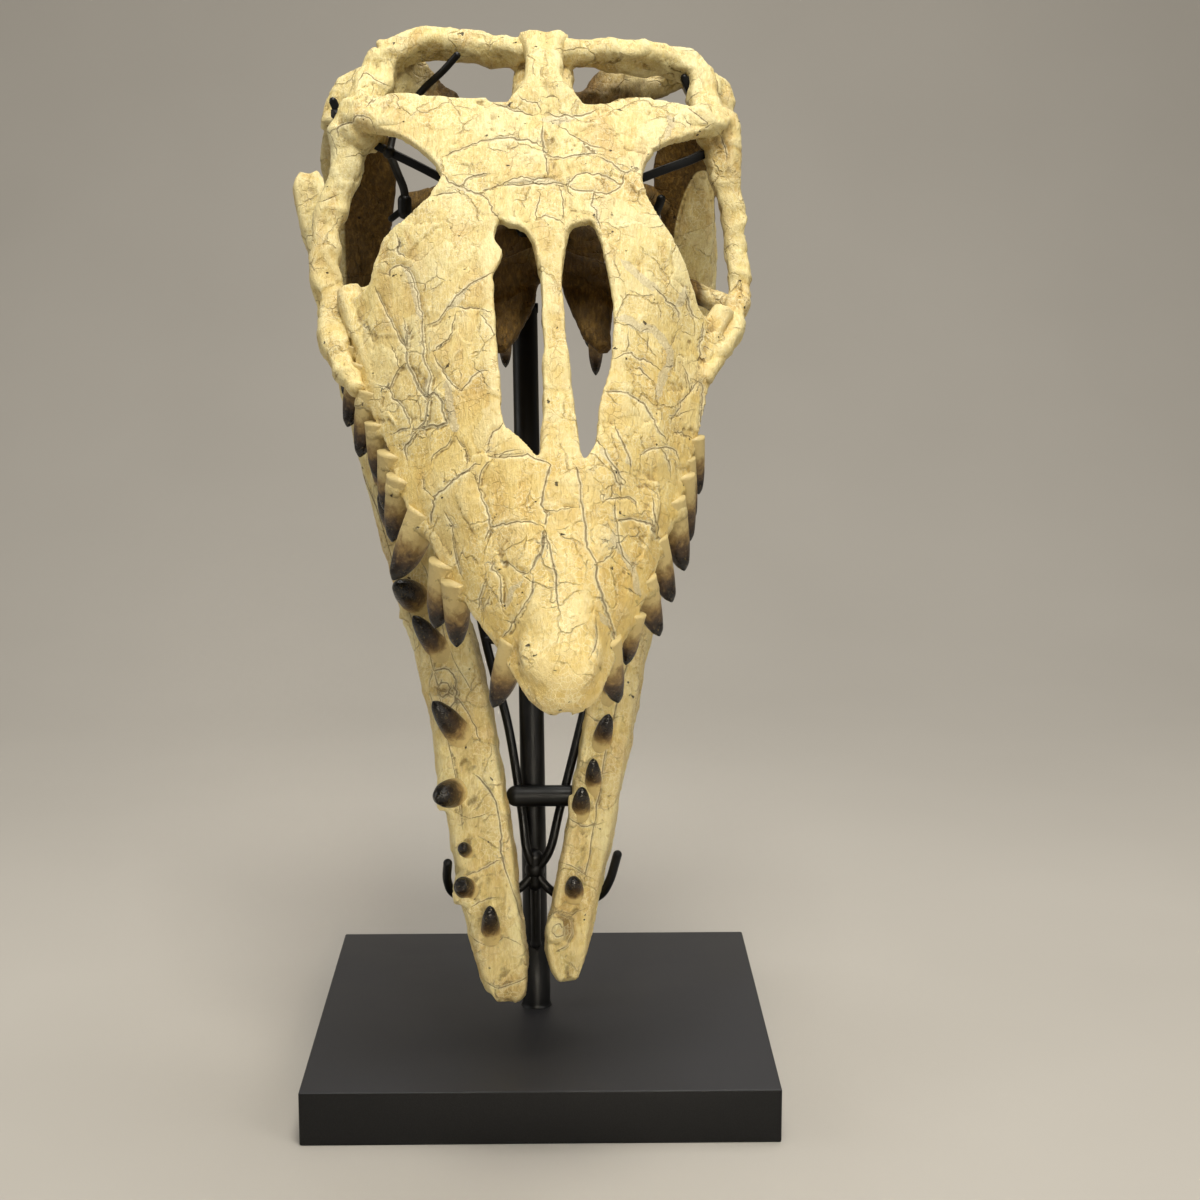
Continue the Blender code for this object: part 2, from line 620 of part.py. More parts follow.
def main():
    for old in list(bpy.data.objects):
        bpy.data.objects.remove(old, do_unlink=True)
    model = collection("mosasaur_skull")
    helpers = collection("cutters", hidden=True)
    bone = material("fossil_bone", (0.72, 0.60, 0.33), 0.6)
    steel = material("black_steel", (0.012, 0.012, 0.013), 0.45, 0.3)
    plinth(model, material("black_plinth", (0.02, 0.02, 0.02), 0.5))
    post(model, helpers, steel)
    skull_cradle = cradle("skull_cradle", SKULL_CRADLE, model, helpers, steel)
    jaw_cradle = cradle("jaw_cradle", JAW_CRADLE, model, helpers, steel)
    cranium = add_mesh("cranium", cranium_code(cut_roof(helpers)), model, bone)
    organic(cranium, CRANIUM_VOXEL, CRANIUM_TRIANGLES)
    keep_off(cranium, skull_cradle, helpers)
    keep_off(cranium, jaw_cradle, helpers)
    for side, jaw, coronoid, teeth, quadrate in (
        ("left", LEFT_JAW, LEFT_CORONOID, LEFT_JAW_TEETH, LEFT_QUADRATE),
        ("right", RIGHT_JAW, RIGHT_CORONOID, RIGHT_JAW_TEETH, RIGHT_QUADRATE),
    ):
        lower = add_mesh(f"mandible_{side}", jaw_code(jaw, coronoid, teeth), model, bone)
        organic(lower, SMALL_VOXEL, JAW_TRIANGLES)
        hinge = add_mesh(f"quadrate_{side}", quadrate_code(quadrate), model, bone)
        organic(hinge, SMALL_VOXEL, SMALL_TRIANGLES)
        keep_off(lower, jaw_cradle, helpers)
        keep_off(hinge, skull_cradle, helpers)
        keep_off(hinge, cranium, helpers)
        keep_off(hinge, lower, helpers)


main()
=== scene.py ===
import math
from functools import partial

import bmesh
import bpy
import numpy as np
from mathutils import Matrix, Vector


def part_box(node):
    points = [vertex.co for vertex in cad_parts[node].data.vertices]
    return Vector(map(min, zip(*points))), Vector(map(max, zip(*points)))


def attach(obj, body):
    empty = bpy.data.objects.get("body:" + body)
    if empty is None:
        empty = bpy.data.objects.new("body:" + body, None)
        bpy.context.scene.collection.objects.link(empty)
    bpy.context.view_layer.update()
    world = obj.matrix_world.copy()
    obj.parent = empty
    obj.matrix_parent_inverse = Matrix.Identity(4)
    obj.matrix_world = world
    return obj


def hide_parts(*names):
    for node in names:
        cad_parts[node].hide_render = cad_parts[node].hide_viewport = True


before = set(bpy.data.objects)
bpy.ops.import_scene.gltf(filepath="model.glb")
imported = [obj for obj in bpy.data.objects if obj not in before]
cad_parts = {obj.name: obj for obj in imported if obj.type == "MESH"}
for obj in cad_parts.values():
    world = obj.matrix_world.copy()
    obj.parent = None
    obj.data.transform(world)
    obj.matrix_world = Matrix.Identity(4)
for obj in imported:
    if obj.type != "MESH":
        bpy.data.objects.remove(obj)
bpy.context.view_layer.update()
scene = bpy.context.scene

# The view. A long lens looks a little down on the roof of the skull, which hangs snout down.
# The lens and its place were fitted to the corners of the plinth in the photograph.
PHOTO_SIDE = 1200
FOCAL_PIXELS = 2147.6
SENSOR = 36.0
LENS_PLACE = Vector((0.0176, -1.8754, 0.7573))
LENS_TILT = (math.radians(90 - 10.109), 0, math.radians(-1.074))


def linked(name, data):
    """A new object in the scene that holds a mesh, a light or a camera."""
    made = bpy.data.objects.new(name, data)
    scene.collection.objects.link(made)
    return made


camera = linked("photo_camera", bpy.data.cameras.new("photo_camera"))
camera.data.sensor_width = SENSOR
camera.data.lens = SENSOR * FOCAL_PIXELS / PHOTO_SIDE
camera.location = LENS_PLACE
camera.rotation_euler = LENS_TILT
scene.camera = camera
scene.view_settings.view_transform = "Standard"


def photo_pixels(points):
    """Pixels of the photograph at which points of the world show, and their depth from the lens."""
    right, up, back = np.array(camera.rotation_euler.to_matrix()).T
    offset = points - np.array(LENS_PLACE)
    depth = -(offset @ back)
    half = PHOTO_SIDE / 2
    across = half + FOCAL_PIXELS * (offset @ right) / depth
    down = half - FOCAL_PIXELS * (offset @ up) / depth
    return np.stack([across, down], axis=1), depth


# The studio. A roll of pale warm paper is swept from the table up behind the skull, and big
# soft boxes light it from the front, the top and both sides. A small one with a grid lights the jaws.
FLOOR_HALF = 4.0
SWEEP_START = 1.3
SWEEP_RADIUS = 1.6
SWEEP_TOP = 4.2
SWEEP_STEPS = 24
PAPER_CLOUD = 0.6
PAPER_TOOTH = 0.002
ROOM_TINT = "#D6D3CE"
ROOM_STRENGTH = 0.26
SHARP_TURN = math.radians(50)
NOISE = "ShaderNodeTexNoise"
RAMP = "ShaderNodeValToRGB"
BUMP = "ShaderNodeBump"
SOFT_BOXES = {  # place, aim, width, watts, tint, spread in degrees
    "key_box": ((0.15, -1.25, 3.1), (0.0, -0.1, 0.6), 0.9, 65.0, "#FFFBF1", 180),
    "fill_box": ((1.9, -1.9, 1.9), (0.0, -0.1, 0.5), 1.2, 16.0, "#FFFBF2", 180),
    "top_box": ((0.2, 0.5, 2.8), (0.0, 0.0, 0.6), 1.2, 30.0, "#FFFDF8", 180),
    "left_box": ((-2.3, -0.2, 1.4), (0.0, 0.0, 0.5), 1.2, 9.0, "#FFFDF8", 180),
    "jaw_box": ((0.35, -2.3, 0.75), (0.0, -0.08, 0.18), 0.4, 0.27, "#FFF4DF", 15),
}


def linear(code):
    """A colour written as sRGB hex, as the linear RGBA that a shader reads."""
    parts = np.array([int(code[i : i + 2], 16) / 255 for i in (1, 3, 5)])
    parts = np.where(parts <= 0.04045, parts / 12.92, ((parts + 0.055) / 1.055) ** 2.4)
    return (*parts, 1.0)


def feed(node, inputs):
    """Sets inputs of a node, by name or in order, or links them to the outputs that are given."""
    for name, value in inputs.items() if isinstance(inputs, dict) else enumerate(inputs):
        if isinstance(value, bpy.types.NodeSocket):
            node.id_data.links.new(value, node.inputs[name])
        else:
            node.inputs[name].default_value = value


def add_node(tree, kind, settings, inputs, output=0):
    """Adds a node with its settings and links, and gives one of its outputs."""
    made = tree.nodes.new(kind)
    for name, value in settings.items():
        if name == "stops":
            points = made.color_ramp.elements
            while len(points) < len(value):
                points.new(0.5)
            for point, (position, code) in zip(points, value):
                point.position = position
                point.color = linear(code)
        else:
            setattr(made, name, value)
    feed(made, inputs)
    return made.outputs[output]


def new_material(name):
    """A material, a function that adds a node to it, its shader and its Object coordinates."""
    made = bpy.data.materials.new(name)
    made.use_nodes = True
    node = partial(add_node, made.node_tree)
    shader = made.node_tree.nodes["Principled BSDF"]
    return made, node, shader, node("ShaderNodeTexCoord", {}, {}, "Object")


def object_of(name, bm, finish=None, sharp=False):
    """An object that takes a bmesh's shape, with smooth faces if it has a finish."""
    mesh = bpy.data.meshes.new(name)
    bm.to_mesh(mesh)
    bm.free()
    if finish:
        mesh.materials.append(finish)
        mesh.shade_smooth()
    if sharp:
        mesh.set_sharp_from_angle(angle=SHARP_TURN)
    return linked(name, mesh)


def paper_material():
    # Seamless background paper: matt, with a faint cloudiness that keeps it from looking flat.
    made, node, shader, where = new_material("seamless_paper")
    cloud = node(NOISE, {}, {"Vector": where, "Scale": 1 / PAPER_CLOUD, "Detail": 3.0})
    tooth = node(NOISE, {}, {"Vector": where, "Scale": 1 / PAPER_TOOTH, "Detail": 2.0})
    inputs = {
        "Base Color": node(RAMP, {"stops": [(0.3, "#B7B2AA"), (0.7, "#BCB7AF")]}, {"Fac": cloud}),
        "Roughness": 0.95,
        "Normal": node(BUMP, {}, {"Height": tooth, "Distance": 0.00005, "Strength": 1.0}),
    }
    feed(shader, inputs)
    return made


def paper_sweep():
    profile = [(-FLOOR_HALF, 0.0), (SWEEP_START, 0.0)]
    for turn in np.linspace(0, math.pi / 2, SWEEP_STEPS)[1:]:
        profile.append((SWEEP_START + SWEEP_RADIUS * math.sin(turn), SWEEP_RADIUS * (1 - math.cos(turn))))
    profile.append((SWEEP_START + SWEEP_RADIUS, SWEEP_TOP))
    bm = bmesh.new()
    rows = [[bm.verts.new((x, y, z)) for x in (-FLOOR_HALF, FLOOR_HALF)] for y, z in profile]
    for first, second in zip(rows, rows[1:]):
        bm.faces.new((first[0], first[1], second[1], second[0]))
    object_of("paper_sweep", bm, paper_material())


def soft_box(name, place, aim, width, watts, tint, spread):
    light = bpy.data.lights.new(name, "AREA")
    light.size = width
    light.energy = watts
    light.color = linear(tint)[:3]
    light.spread = math.radians(spread)
    made = linked(name, light)
    made.location = place
    made.rotation_euler = (Vector(aim) - Vector(place)).to_track_quat("-Z", "Y").to_euler()


paper_sweep()
for box_name, values in SOFT_BOXES.items():
    soft_box(box_name, *values)
room = bpy.data.worlds.new("studio_room")
room.use_nodes = True
feed(room.node_tree.nodes["Background"], {"Color": linear(ROOM_TINT), "Strength": ROOM_STRENGTH})
scene.world = room

# The plinth. A square slab with a fine black powder coat: the grain is too fine to show at its
# real size, so it is drawn a little coarser. Its edges are eased by a narrow round.
PLINTH_EASE = 0.0016
EASE_STEPS = 4
COAT_GRAIN = 0.0011
COAT_CLOUD = 0.12
MATH = "ShaderNodeMath"
RANGE = "ShaderNodeMapRange"
MIX = "ShaderNodeMix"
SPLIT = "ShaderNodeSeparateXYZ"
SMOOTH = {"interpolation_type": "SMOOTHSTEP"}
COLOURS = {"data_type": "RGBA"}
TIMES = {"operation": "MULTIPLY"}


def powder_coat():
    # Baked powder coat: satin, with a faint orange peel; faces that look up are painted lighter, as painted
    # top light and a film of dust.
    made, node, shader, where = new_material("powder_coated_board")
    speck = node(NOISE, {}, {"Vector": where, "Scale": 1 / COAT_GRAIN, "Detail": 2.0})
    cloud = node(NOISE, {}, {"Vector": where, "Scale": 1 / COAT_CLOUD, "Detail": 4.0})
    shade = node(RANGE, SMOOTH, (speck, 0.35, 0.75))
    colour = node(MIX, COLOURS, {0: shade, 6: linear("#0A0A0B"), 7: linear("#151516")}, 2)
    # Painted top light and dust: faces that look up take a paler grey than the sides.
    facing = node(SPLIT, {}, (node("ShaderNodeNewGeometry", {}, {}, "Normal"),), 2)
    flats = node(RANGE, SMOOTH, (facing, 0.2, 0.9))
    top_light_and_dust = node(MATH, TIMES, (flats, node(RANGE, SMOOTH, (cloud, 0.3, 0.7, 0.75, 1.0))))
    inputs = {
        "Base Color": node(MIX, COLOURS, {0: top_light_and_dust, 6: colour, 7: linear("#353538")}, 2),
        "Roughness": node(RANGE, SMOOTH, (cloud, 0.3, 0.7, 0.46, 0.56)),
        "Specular IOR Level": 0.32,
        "Normal": node(BUMP, {}, {"Height": speck, "Distance": 0.00012, "Strength": 1.0}),
    }
    feed(shader, inputs)
    return made


def eased_block(name, low, high, ease, finish):
    """A closed block between two corners, with its edges rounded by ease."""
    bm = bmesh.new()
    bmesh.ops.create_cube(bm, size=1.0)
    bmesh.ops.scale(bm, vec=[b - a for a, b in zip(low, high)], verts=bm.verts)
    bmesh.ops.translate(bm, vec=[(a + b) / 2 for a, b in zip(low, high)], verts=bm.verts)
    bmesh.ops.bevel(
        bm, geom=bm.edges[:], offset=ease, segments=EASE_STEPS, profile=0.5, affect="EDGES",
        clamp_overlap=True,
    )
    return object_of(name, bm, finish, sharp=True)


def dress(piece, cad_node):
    """Says what a piece rides on, and hides the CAD node that it stands for."""
    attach(piece, "root")
    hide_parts(cad_node)


dress(eased_block("plinth_slab", *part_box("plinth"), PLINTH_EASE, powder_coat()), "plinth")

# The post and its socket. Bright-drawn tube, painted satin black, stands in a short tube that is
# welded to the plinth. A narrower neck and a side pin at the top clamp the skull's cradle.
SOCKET_BORE = 0.0114
SOCKET_OUTSIDE = 0.0127
SOCKET_LENGTH = 0.065
POST_OUTSIDE = 0.0111
POST_LINE = (Vector((-0.0054, 0, 0.0468)), Vector((-0.0128, 0, 0.697)))
POST_LENGTH = (POST_LINE[1] - POST_LINE[0]).length
NECK_RADIUS = 0.0082
NECK_LENGTH = 0.016
PIN_RADIUS = 0.0046
PIN_LENGTH = 0.0120
PIN_START = Vector((POST_LINE[1].x, 0, 0.6797))
TUBE_EASE = 0.0006
WELD_BEAD = 0.0016
TURN_SIDES = 64
PAINT_CLOUD = 0.018
PAINT_GRAIN = 0.0025


def satin_black():
    # Brushed-on black enamel over steel: even, slightly uneven in tone and sheen.
    made, node, shader, where = new_material("black_enamelled_steel")
    cloud = node(NOISE, {}, {"Vector": where, "Scale": 1 / PAINT_CLOUD, "Detail": 5.0, "Roughness": 0.6})
    grain = node(NOISE, {}, {"Vector": where, "Scale": 1 / PAINT_GRAIN, "Detail": 3.0})
    shade = node(RANGE, SMOOTH, (cloud, 0.35, 0.75))
    inputs = {
        "Base Color": node(MIX, COLOURS, {0: shade, 6: linear("#050505"), 7: linear("#0C0C0D")}, 2),
        "Roughness": node(RANGE, SMOOTH, (cloud, 0.3, 0.7, 0.34, 0.5)),
        "Specular IOR Level": 0.3,
        "Normal": node(BUMP, {}, {"Height": grain, "Distance": 0.00006, "Strength": 1.0}),
    }
    feed(shader, inputs)
    return made


def turned(name, line, profile, finish):
    """A closed piece turned about a line: profile is a closed loop, or starts and ends on the axis."""
    foot, top = line
    turn = (top - foot).to_track_quat("Z", "Y")
    bm = bmesh.new()
    rings = []
    for height, radius in profile:
        if radius == 0:
            rings.append([bm.verts.new(foot + turn @ Vector((0, 0, height)))])
            continue
        angles = [2 * math.pi * k / TURN_SIDES for k in range(TURN_SIDES)]
        spots = [Vector((radius * math.cos(a), radius * math.sin(a), height)) for a in angles]
        rings.append([bm.verts.new(foot + turn @ spot) for spot in spots])
    if profile[0][1]:
        rings.append(rings[0])
    for first, second in zip(rings, rings[1:]):
        for k in range(TURN_SIDES):
            following = (k + 1) % TURN_SIDES
            corners = [first[k % len(first)], first[following % len(first)]]
            corners += [second[following % len(second)], second[k % len(second)]]
            bm.faces.new(dict.fromkeys(corners))
    bmesh.ops.recalc_face_normals(bm, faces=bm.faces)
    return object_of(name, bm, finish, sharp=True)


steel = satin_black()
TURNED_PIECES = [  # name, CAD node, axis, then (height, radius) round the section
    (
        "socket_tube", "post_socket", POST_LINE,
        [
            (0, SOCKET_BORE), (SOCKET_LENGTH, SOCKET_BORE), (SOCKET_LENGTH, SOCKET_OUTSIDE - TUBE_EASE),
            (SOCKET_LENGTH - TUBE_EASE, SOCKET_OUTSIDE), (2 * WELD_BEAD, SOCKET_OUTSIDE),
            (WELD_BEAD / 2, SOCKET_OUTSIDE + WELD_BEAD / 2), (0, SOCKET_OUTSIDE + WELD_BEAD),
        ],
    ),
    (
        "post_tube", "post", POST_LINE,
        [
            (0, 0), (0, POST_OUTSIDE), (POST_LENGTH - NECK_LENGTH - TUBE_EASE, POST_OUTSIDE),
            (POST_LENGTH - NECK_LENGTH, POST_OUTSIDE - TUBE_EASE), (POST_LENGTH - NECK_LENGTH, NECK_RADIUS),
            (POST_LENGTH, NECK_RADIUS), (POST_LENGTH, 0),
        ],
    ),
    (
        "post_pin", "post", (PIN_START, PIN_START + Vector((PIN_LENGTH, 0, 0))),
        [
            (0, 0), (0, PIN_RADIUS), (PIN_LENGTH - TUBE_EASE, PIN_RADIUS),
            (PIN_LENGTH, PIN_RADIUS - TUBE_EASE), (PIN_LENGTH, 0),
        ],
    ),
]
for name, cad_node, line, profile in TURNED_PIECES:
    dress(turned(name, line, profile, steel), cad_node)

# The cradles. Square bar forms the two arms under the skull's rear, round rod forms the rails
# and hooks under the jaws. All are welded, filed smooth and painted with the post.
HUB = (-12.5, 0, 748)
SKULL_CRADLE = {
    "left_arm": (
        [HUB, (-83, 2, 790), (-137, 16, 817), (-164, 36, 832), (-177, 43, 846), (-173, 46, 842),
         (-179, 46, 857)], 5.0, 4,
    ),
    "right_arm": (
        [HUB, (87, 2, 789.5), (138, 18, 809), (152, 44, 822), (142, 62, 846), (128, 62, 878)], 5.2, 4,
    ),
    "riser": ([(-12.8, 0, 697.5), (-13, 0, 725), HUB], 5.8, 12),
    "left_rear_prong": (
        [(-128, 10, 812), (-124, 58, 838), (-104, 72, 866), (-84, 60, 883), (-71, 52, 896)], 3.2, 8,
    ),
    "left_drop_rod": ([(-128, 12, 812), (-124, 44, 796), (-119, 58, 780), (-119, 60, 762)], 3.6, 8),
    "drop_collar": ([(-119, 60, 771.5), (-119, 60, 761.5)], 6.2, 12),
    "drop_branch": ([(-119, 60, 765), (-131, 60, 756)], 3.0, 8),
    "drop_tail": ([(-118, 60, 765), (-115, 60, 748)], 3.2, 8),
}
JAW_CRADLE = {
    "left_rail": (
        [(-3, -24, 178), (-13, -26, 200), (-18, -16, 238), (-30, -2, 312), (-52, 22, 393),
         (-92, 58, 590), (-120, 70, 720), (-117, 60, 744)], 4.0, 8,
    ),
    "right_rail": (
        [(-9, -23.5, 177), (7, -26, 200), (17, -16, 238), (42, 0, 338), (58, 24, 420),
         (86, 58, 610), (100, 66, 740), (108, 60, 773)], 4.0, 8,
    ),
    "left_hook": (
        [(-2, -23.2, 186), (-20, -28, 166), (-48, -30, 154), (-76, -36, 163), (-83, -48, 180),
         (-82, -58, 199)], 4.0, 8,
    ),
    "right_hook": (
        [(-10, -22.8, 187), (6, -28, 166), (28, -30, 154), (50, -40, 162), (60, -52, 180),
         (67, -58, 206)], 4.0, 8,
    ),
    "weld": ([(-6, -23, 193), (-6, -23, 170)], 7.5, 8),
    "stem": ([(-6, -21, 184), (-5.6, -21, 150), (-5.4, -21, 112)], 4.5, 8),
    "cross_tube": ([(-22, -22.6, 250), (25, -22.6, 250)], 9.5, 12),
    "upper_cross": ([(-50, 19, 384), (-20, 19, 382), (52, 20, 392)], 3.6, 8),
}
SQUARE_SIDES = 4
PATH_STEPS = 8
ROD_SIDES = 28
BALL_RINGS = 14
BAR_CORNER = 0.22
CORNER_STEPS = 4
SQUARE_BALL = 0.36
MILLIMETRE = 0.001
WELDS = {  # place in millimetres and radius of the weld beads
    "skull_cradle": [((-12.5, 0, 748), 7.4), ((-12.9, 0, 700), 7.0), ((-128, 10, 812), 5.6)],
    "jaw_cradle": [
        ((-6, -23, 182), 9.0), ((-14, -23, 250), 6.5), ((17, -22, 250), 6.5), ((-5.4, -21, 112), 5.0),
    ],
}
TIMES_PLUS = {"operation": "MULTIPLY_ADD"}


def plain_mesh(drawn, name):
    """Replaces an object by one that holds its evaluated mesh, with no modifiers."""
    graph = bpy.context.evaluated_depsgraph_get()
    mesh = bpy.data.meshes.new_from_object(drawn.evaluated_get(graph))
    bpy.data.objects.remove(drawn, do_unlink=True)
    mesh.name = name
    return linked(name, mesh)


def joined(name, parts, finish):
    """The plain mesh objects as one, all in one finish."""
    bm = bmesh.new()
    for part in parts:
        bm.from_mesh(part.data)
        bpy.data.objects.remove(part, do_unlink=True)
    made = object_of(name, bm, finish, sharp=True)
    made.data.polygons.foreach_set("material_index", [0] * len(made.data.polygons))
    return made


def smooth_path(points, steps):
    """Catmull-Rom curve through rows of numbers, with the given steps between each two."""
    rows = np.array(points, float)
    rows = np.vstack([2 * rows[0] - rows[1], rows, 2 * rows[-1] - rows[-2]])
    found = []
    for i in range(1, len(rows) - 2):
        before, start, end, after = rows[i - 1 : i + 3]
        for u in np.arange(steps) / steps:
            bend = 2 * before - 5 * start + 4 * end - after
            twist = 3 * start - before - 3 * end + after
            found.append(0.5 * (2 * start + (end - before) * u + bend * u * u + twist * u**3))
    found.append(rows[-2])
    return np.array(found)


def open_tree(name, wanted):
    """A geometry tree with inputs of (name, kind): the tree, their identifiers and their outputs."""
    tree = bpy.data.node_groups.new(name, "GeometryNodeTree")
    face = tree.interface
    face.new_socket("Geometry", in_out="INPUT", socket_type="NodeSocketGeometry")
    names = {
        key: face.new_socket(key, in_out="INPUT", socket_type=f"NodeSocket{kind}").identifier
        for key, kind in wanted
    }
    face.new_socket("Geometry", in_out="OUTPUT", socket_type="NodeSocketGeometry")
    return tree, names, tree.nodes.new("NodeGroupInput").outputs


def close_tree(tree, shape, finish):
    """Ends a geometry tree: its instances are made real and its faces take their material."""
    shape = add_node(tree, "GeometryNodeRealizeInstances", {}, (shape,))
    shape = add_node(tree, "GeometryNodeSetMaterial", {}, {"Geometry": shape, "Material": finish})
    tree.links.new(shape, tree.nodes.new("NodeGroupOutput").inputs[0])


def bar_tree():
    """A nodes tree that runs a round or a square section along an edge path, with rounded ends."""
    tree, names, given = open_tree(
        "bar_along_a_path", [("Radius", "Float"), ("Square", "Bool"), ("Material", "Material")]
    )
    node = partial(add_node, tree)
    radius = given["Radius"]
    path = node("GeometryNodeMeshToCurve", {}, {"Mesh": given["Geometry"]})
    path = node("GeometryNodeSetCurveNormal", {"mode": "Z_UP"}, {"Curve": path})
    circle = node("GeometryNodeCurvePrimitiveCircle", {}, {"Resolution": ROD_SIDES, "Radius": radius})
    flat = node(MATH, TIMES, (radius, math.sqrt(2)))
    corner = node(MATH, TIMES, (radius, BAR_CORNER))
    block = node("GeometryNodeCurvePrimitiveQuadrilateral", {}, {"Width": flat, "Height": flat})
    block = node(
        "GeometryNodeFilletCurve", {"mode": "POLY"}, {"Curve": block, "Count": CORNER_STEPS, "Radius": corner}
    )
    section = node(
        "GeometryNodeSwitch", {"input_type": "GEOMETRY"},
        {"Switch": given["Square"], "False": circle, "True": block},
    )
    swept = node("GeometryNodeCurveToMesh", {}, {"Curve": path, "Profile Curve": section, "Fill Caps": True})
    ball = node(
        "GeometryNodeMeshUVSphere", {}, {"Segments": ROD_SIDES, "Rings": BALL_RINGS, "Radius": radius}
    )
    ends = node("GeometryNodeCurveEndpointSelection", {}, {})
    size = node(MATH, TIMES_PLUS, (given["Square"], -SQUARE_BALL, 1.0))
    balls = node(
        "GeometryNodeInstanceOnPoints", {},
        {"Points": path, "Selection": ends, "Instance": ball, "Scale": size},
    )
    both = tree.nodes.new("GeometryNodeJoinGeometry")
    for shape in (swept, balls):
        tree.links.new(shape, both.inputs[0])
    close_tree(tree, both.outputs[0], given["Material"])
    return tree, names


def drawn_path(name, route):
    """A route in millimetres as a mesh of edges."""
    points = smooth_path(route, PATH_STEPS if len(route) > 2 else 1) * MILLIMETRE
    mesh = bpy.data.meshes.new(name)
    mesh.from_pydata(points.tolist(), [(k, k + 1) for k in range(len(points) - 1)], [])
    return linked(name, mesh)


def weld_bead(name, place, radius):
    bm = bmesh.new()
    bmesh.ops.create_icosphere(bm, subdivisions=4, radius=radius * MILLIMETRE)
    bmesh.ops.translate(bm, vec=Vector(place) * MILLIMETRE, verts=bm.verts)
    return object_of(name, bm, steel)


def welded_cradle(name, cad_node, bars):
    tree, names = bar_tree()
    parts = []
    for key, (route, radius, sides) in bars.items():
        drawn = drawn_path(key, route)
        modifier = drawn.modifiers.new("bar", "NODES")
        modifier.node_group = tree
        modifier[names["Radius"]] = radius * MILLIMETRE
        modifier[names["Square"]] = sides == SQUARE_SIDES
        modifier[names["Material"]] = steel
        parts.append(plain_mesh(drawn, key))
    for k, (place, radius) in enumerate(WELDS[cad_node]):
        parts.append(weld_bead(f"{cad_node}_weld_{k}", place, radius))
    dress(joined(name, parts, steel), cad_node)


welded_cradle("skull_cradle_bars", "skull_cradle", SKULL_CRADLE)
welded_cradle("jaw_cradle_rods", "jaw_cradle", JAW_CRADLE)

# The lower jaws. Each is fossil bone: cream to ochre, split by drying and by burial into
# plates that were put together again, with grey matrix left in the gaps between them.
JAW_START = Vector((0.0, -0.108, 0.088))
JAW_END = Vector((0.0, 0.160, 0.803))
JAW_ROLL = (-0.30, 0, 1)
LEFT_JAW_CRACKS = [  # photograph pixels, then half width in millimetres
    ([(462, 878), (478, 871), (494, 863), (501, 860)], 0.6),
    ([(470, 908), (483, 901), (499, 897)], 0.5),
    ([(485, 981), (501, 988), (530, 975)], 0.5),
    ([(474, 774), (492, 794), (501, 830), (501, 852), (507, 874), (516, 901), (523, 923)], 0.9),
    ([(362, 470), (381, 520), (398, 580), (419, 640)], 0.5),
    ([(425, 640), (441, 700), (452, 760), (463, 830)], 0.5),
    ([(437, 690), (455, 697), (470, 716), (480, 741)], 0.6),
    ([(420, 560), (437, 600), (449, 650), (471, 690)], 0.4),
    ([(455, 812), (470, 818), (489, 812)], 0.4),
    ([(470, 935), (487, 945), (505, 938), (521, 945)], 0.5),
    ([(429, 689), (433, 674), (443, 669), (453, 674), (457, 689), (453, 704), (443, 709), (433, 704),
      (429, 689)], 0.9),
    ([(437, 690), (441, 682), (448, 684), (449, 692), (442, 697), (437, 690)], 0.9),
]
RIGHT_JAW_CRACKS = [
    ([(640, 600), (628, 660), (613, 720), (602, 780), (594, 830), (584, 880)], 0.6),
    ([(585, 712), (600, 722), (622, 716)], 0.4),
    ([(578, 770), (592, 777), (612, 771)], 0.4),
    ([(566, 815), (581, 826), (604, 822)], 0.5),
    ([(560, 862), (575, 868), (592, 878)], 0.4),
    ([(552, 905), (568, 914), (586, 908)], 0.5),
    ([(543, 938), (546, 920), (556, 913), (568, 917), (572, 930), (567, 945), (556, 952)], 0.7),
    ([(552, 930), (557, 924), (564, 928), (563, 935), (556, 937), (552, 930)], 0.6),
    ([(690, 190), (686, 215), (690, 245), (702, 275)], 0.4),
]
LEFT_JAW = [
    (2, -30, -18, 9, 9), (12, -29, -18, 17, 14), (30, -33, -19, 22, 18), (60, -38, -20, 24, 20),
    (98, -46, -21, 27, 21), (150, -53, -22, 28, 22), (200, -63, -24, 29, 24), (250, -70, -26, 28, 26),
    (300, -82, -28, 28, 28), (380, -106, -32, 27, 32), (450, -126, -36, 25, 36), (520, -146, -36, 23, 40),
    (580, -164, -34, 21, 42), (630, -178, -36, 22, 36), (680, -192, -34, 21, 28), (725, -206, -30, 20, 24),
    (752, -214, -28, 16, 20), (766, -216, -26, 8, 11),
]
RIGHT_JAW = [
    (20, 23, -16, 8, 9), (34, 22, -17, 15, 14), (58, 23, -18, 19, 18), (100, 32, -20, 19, 20),
    (150, 43, -21, 20, 21), (200, 52, -23, 21, 23), (250, 61, -25, 22, 25), (300, 71, -27, 22, 27),
    (380, 88, -31, 21, 31), (450, 104, -35, 20, 35), (520, 121, -35, 19, 38), (580, 134, -34, 18, 40),
    (630, 143, -34, 18, 34), (680, 146, -32, 17, 26), (725, 147, -28, 15, 22), (748, 149, -26, 10, 17),
    (760, 150, -24, 5, 9),
]
LEFT_CORONOID = [(520, -150, -6, 10, 8), (575, -164, 16, 9, 12), (615, -174, -6, 11, 10)]
RIGHT_CORONOID = [(520, 116, -6, 10, 8), (575, 128, 16, 9, 12), (615, 136, -6, 11, 10)]
LEFT_JAW_TEETH = [  # base (m, x, h), tip, radius
    ((464, -140, -2), (486, -150, 22), 9),
    ((423, -131, -2), (448, -143, 26), 9),
    ((357, -112, -4), (364, -128, 30), 13),
    ((312, -92, -2), (336, -112, 26), 10),
    ((237, -74, -4), (260, -94, 26), 11),
    ((183, -78, -6), (176, -92, 18), 12),
    ((132, -66, -4), (136, -70, 8), 6),
    ((99, -66, -4), (104, -72, 10), 9),
    ((62, -44, -2), (83, -44, 20), 8),
]
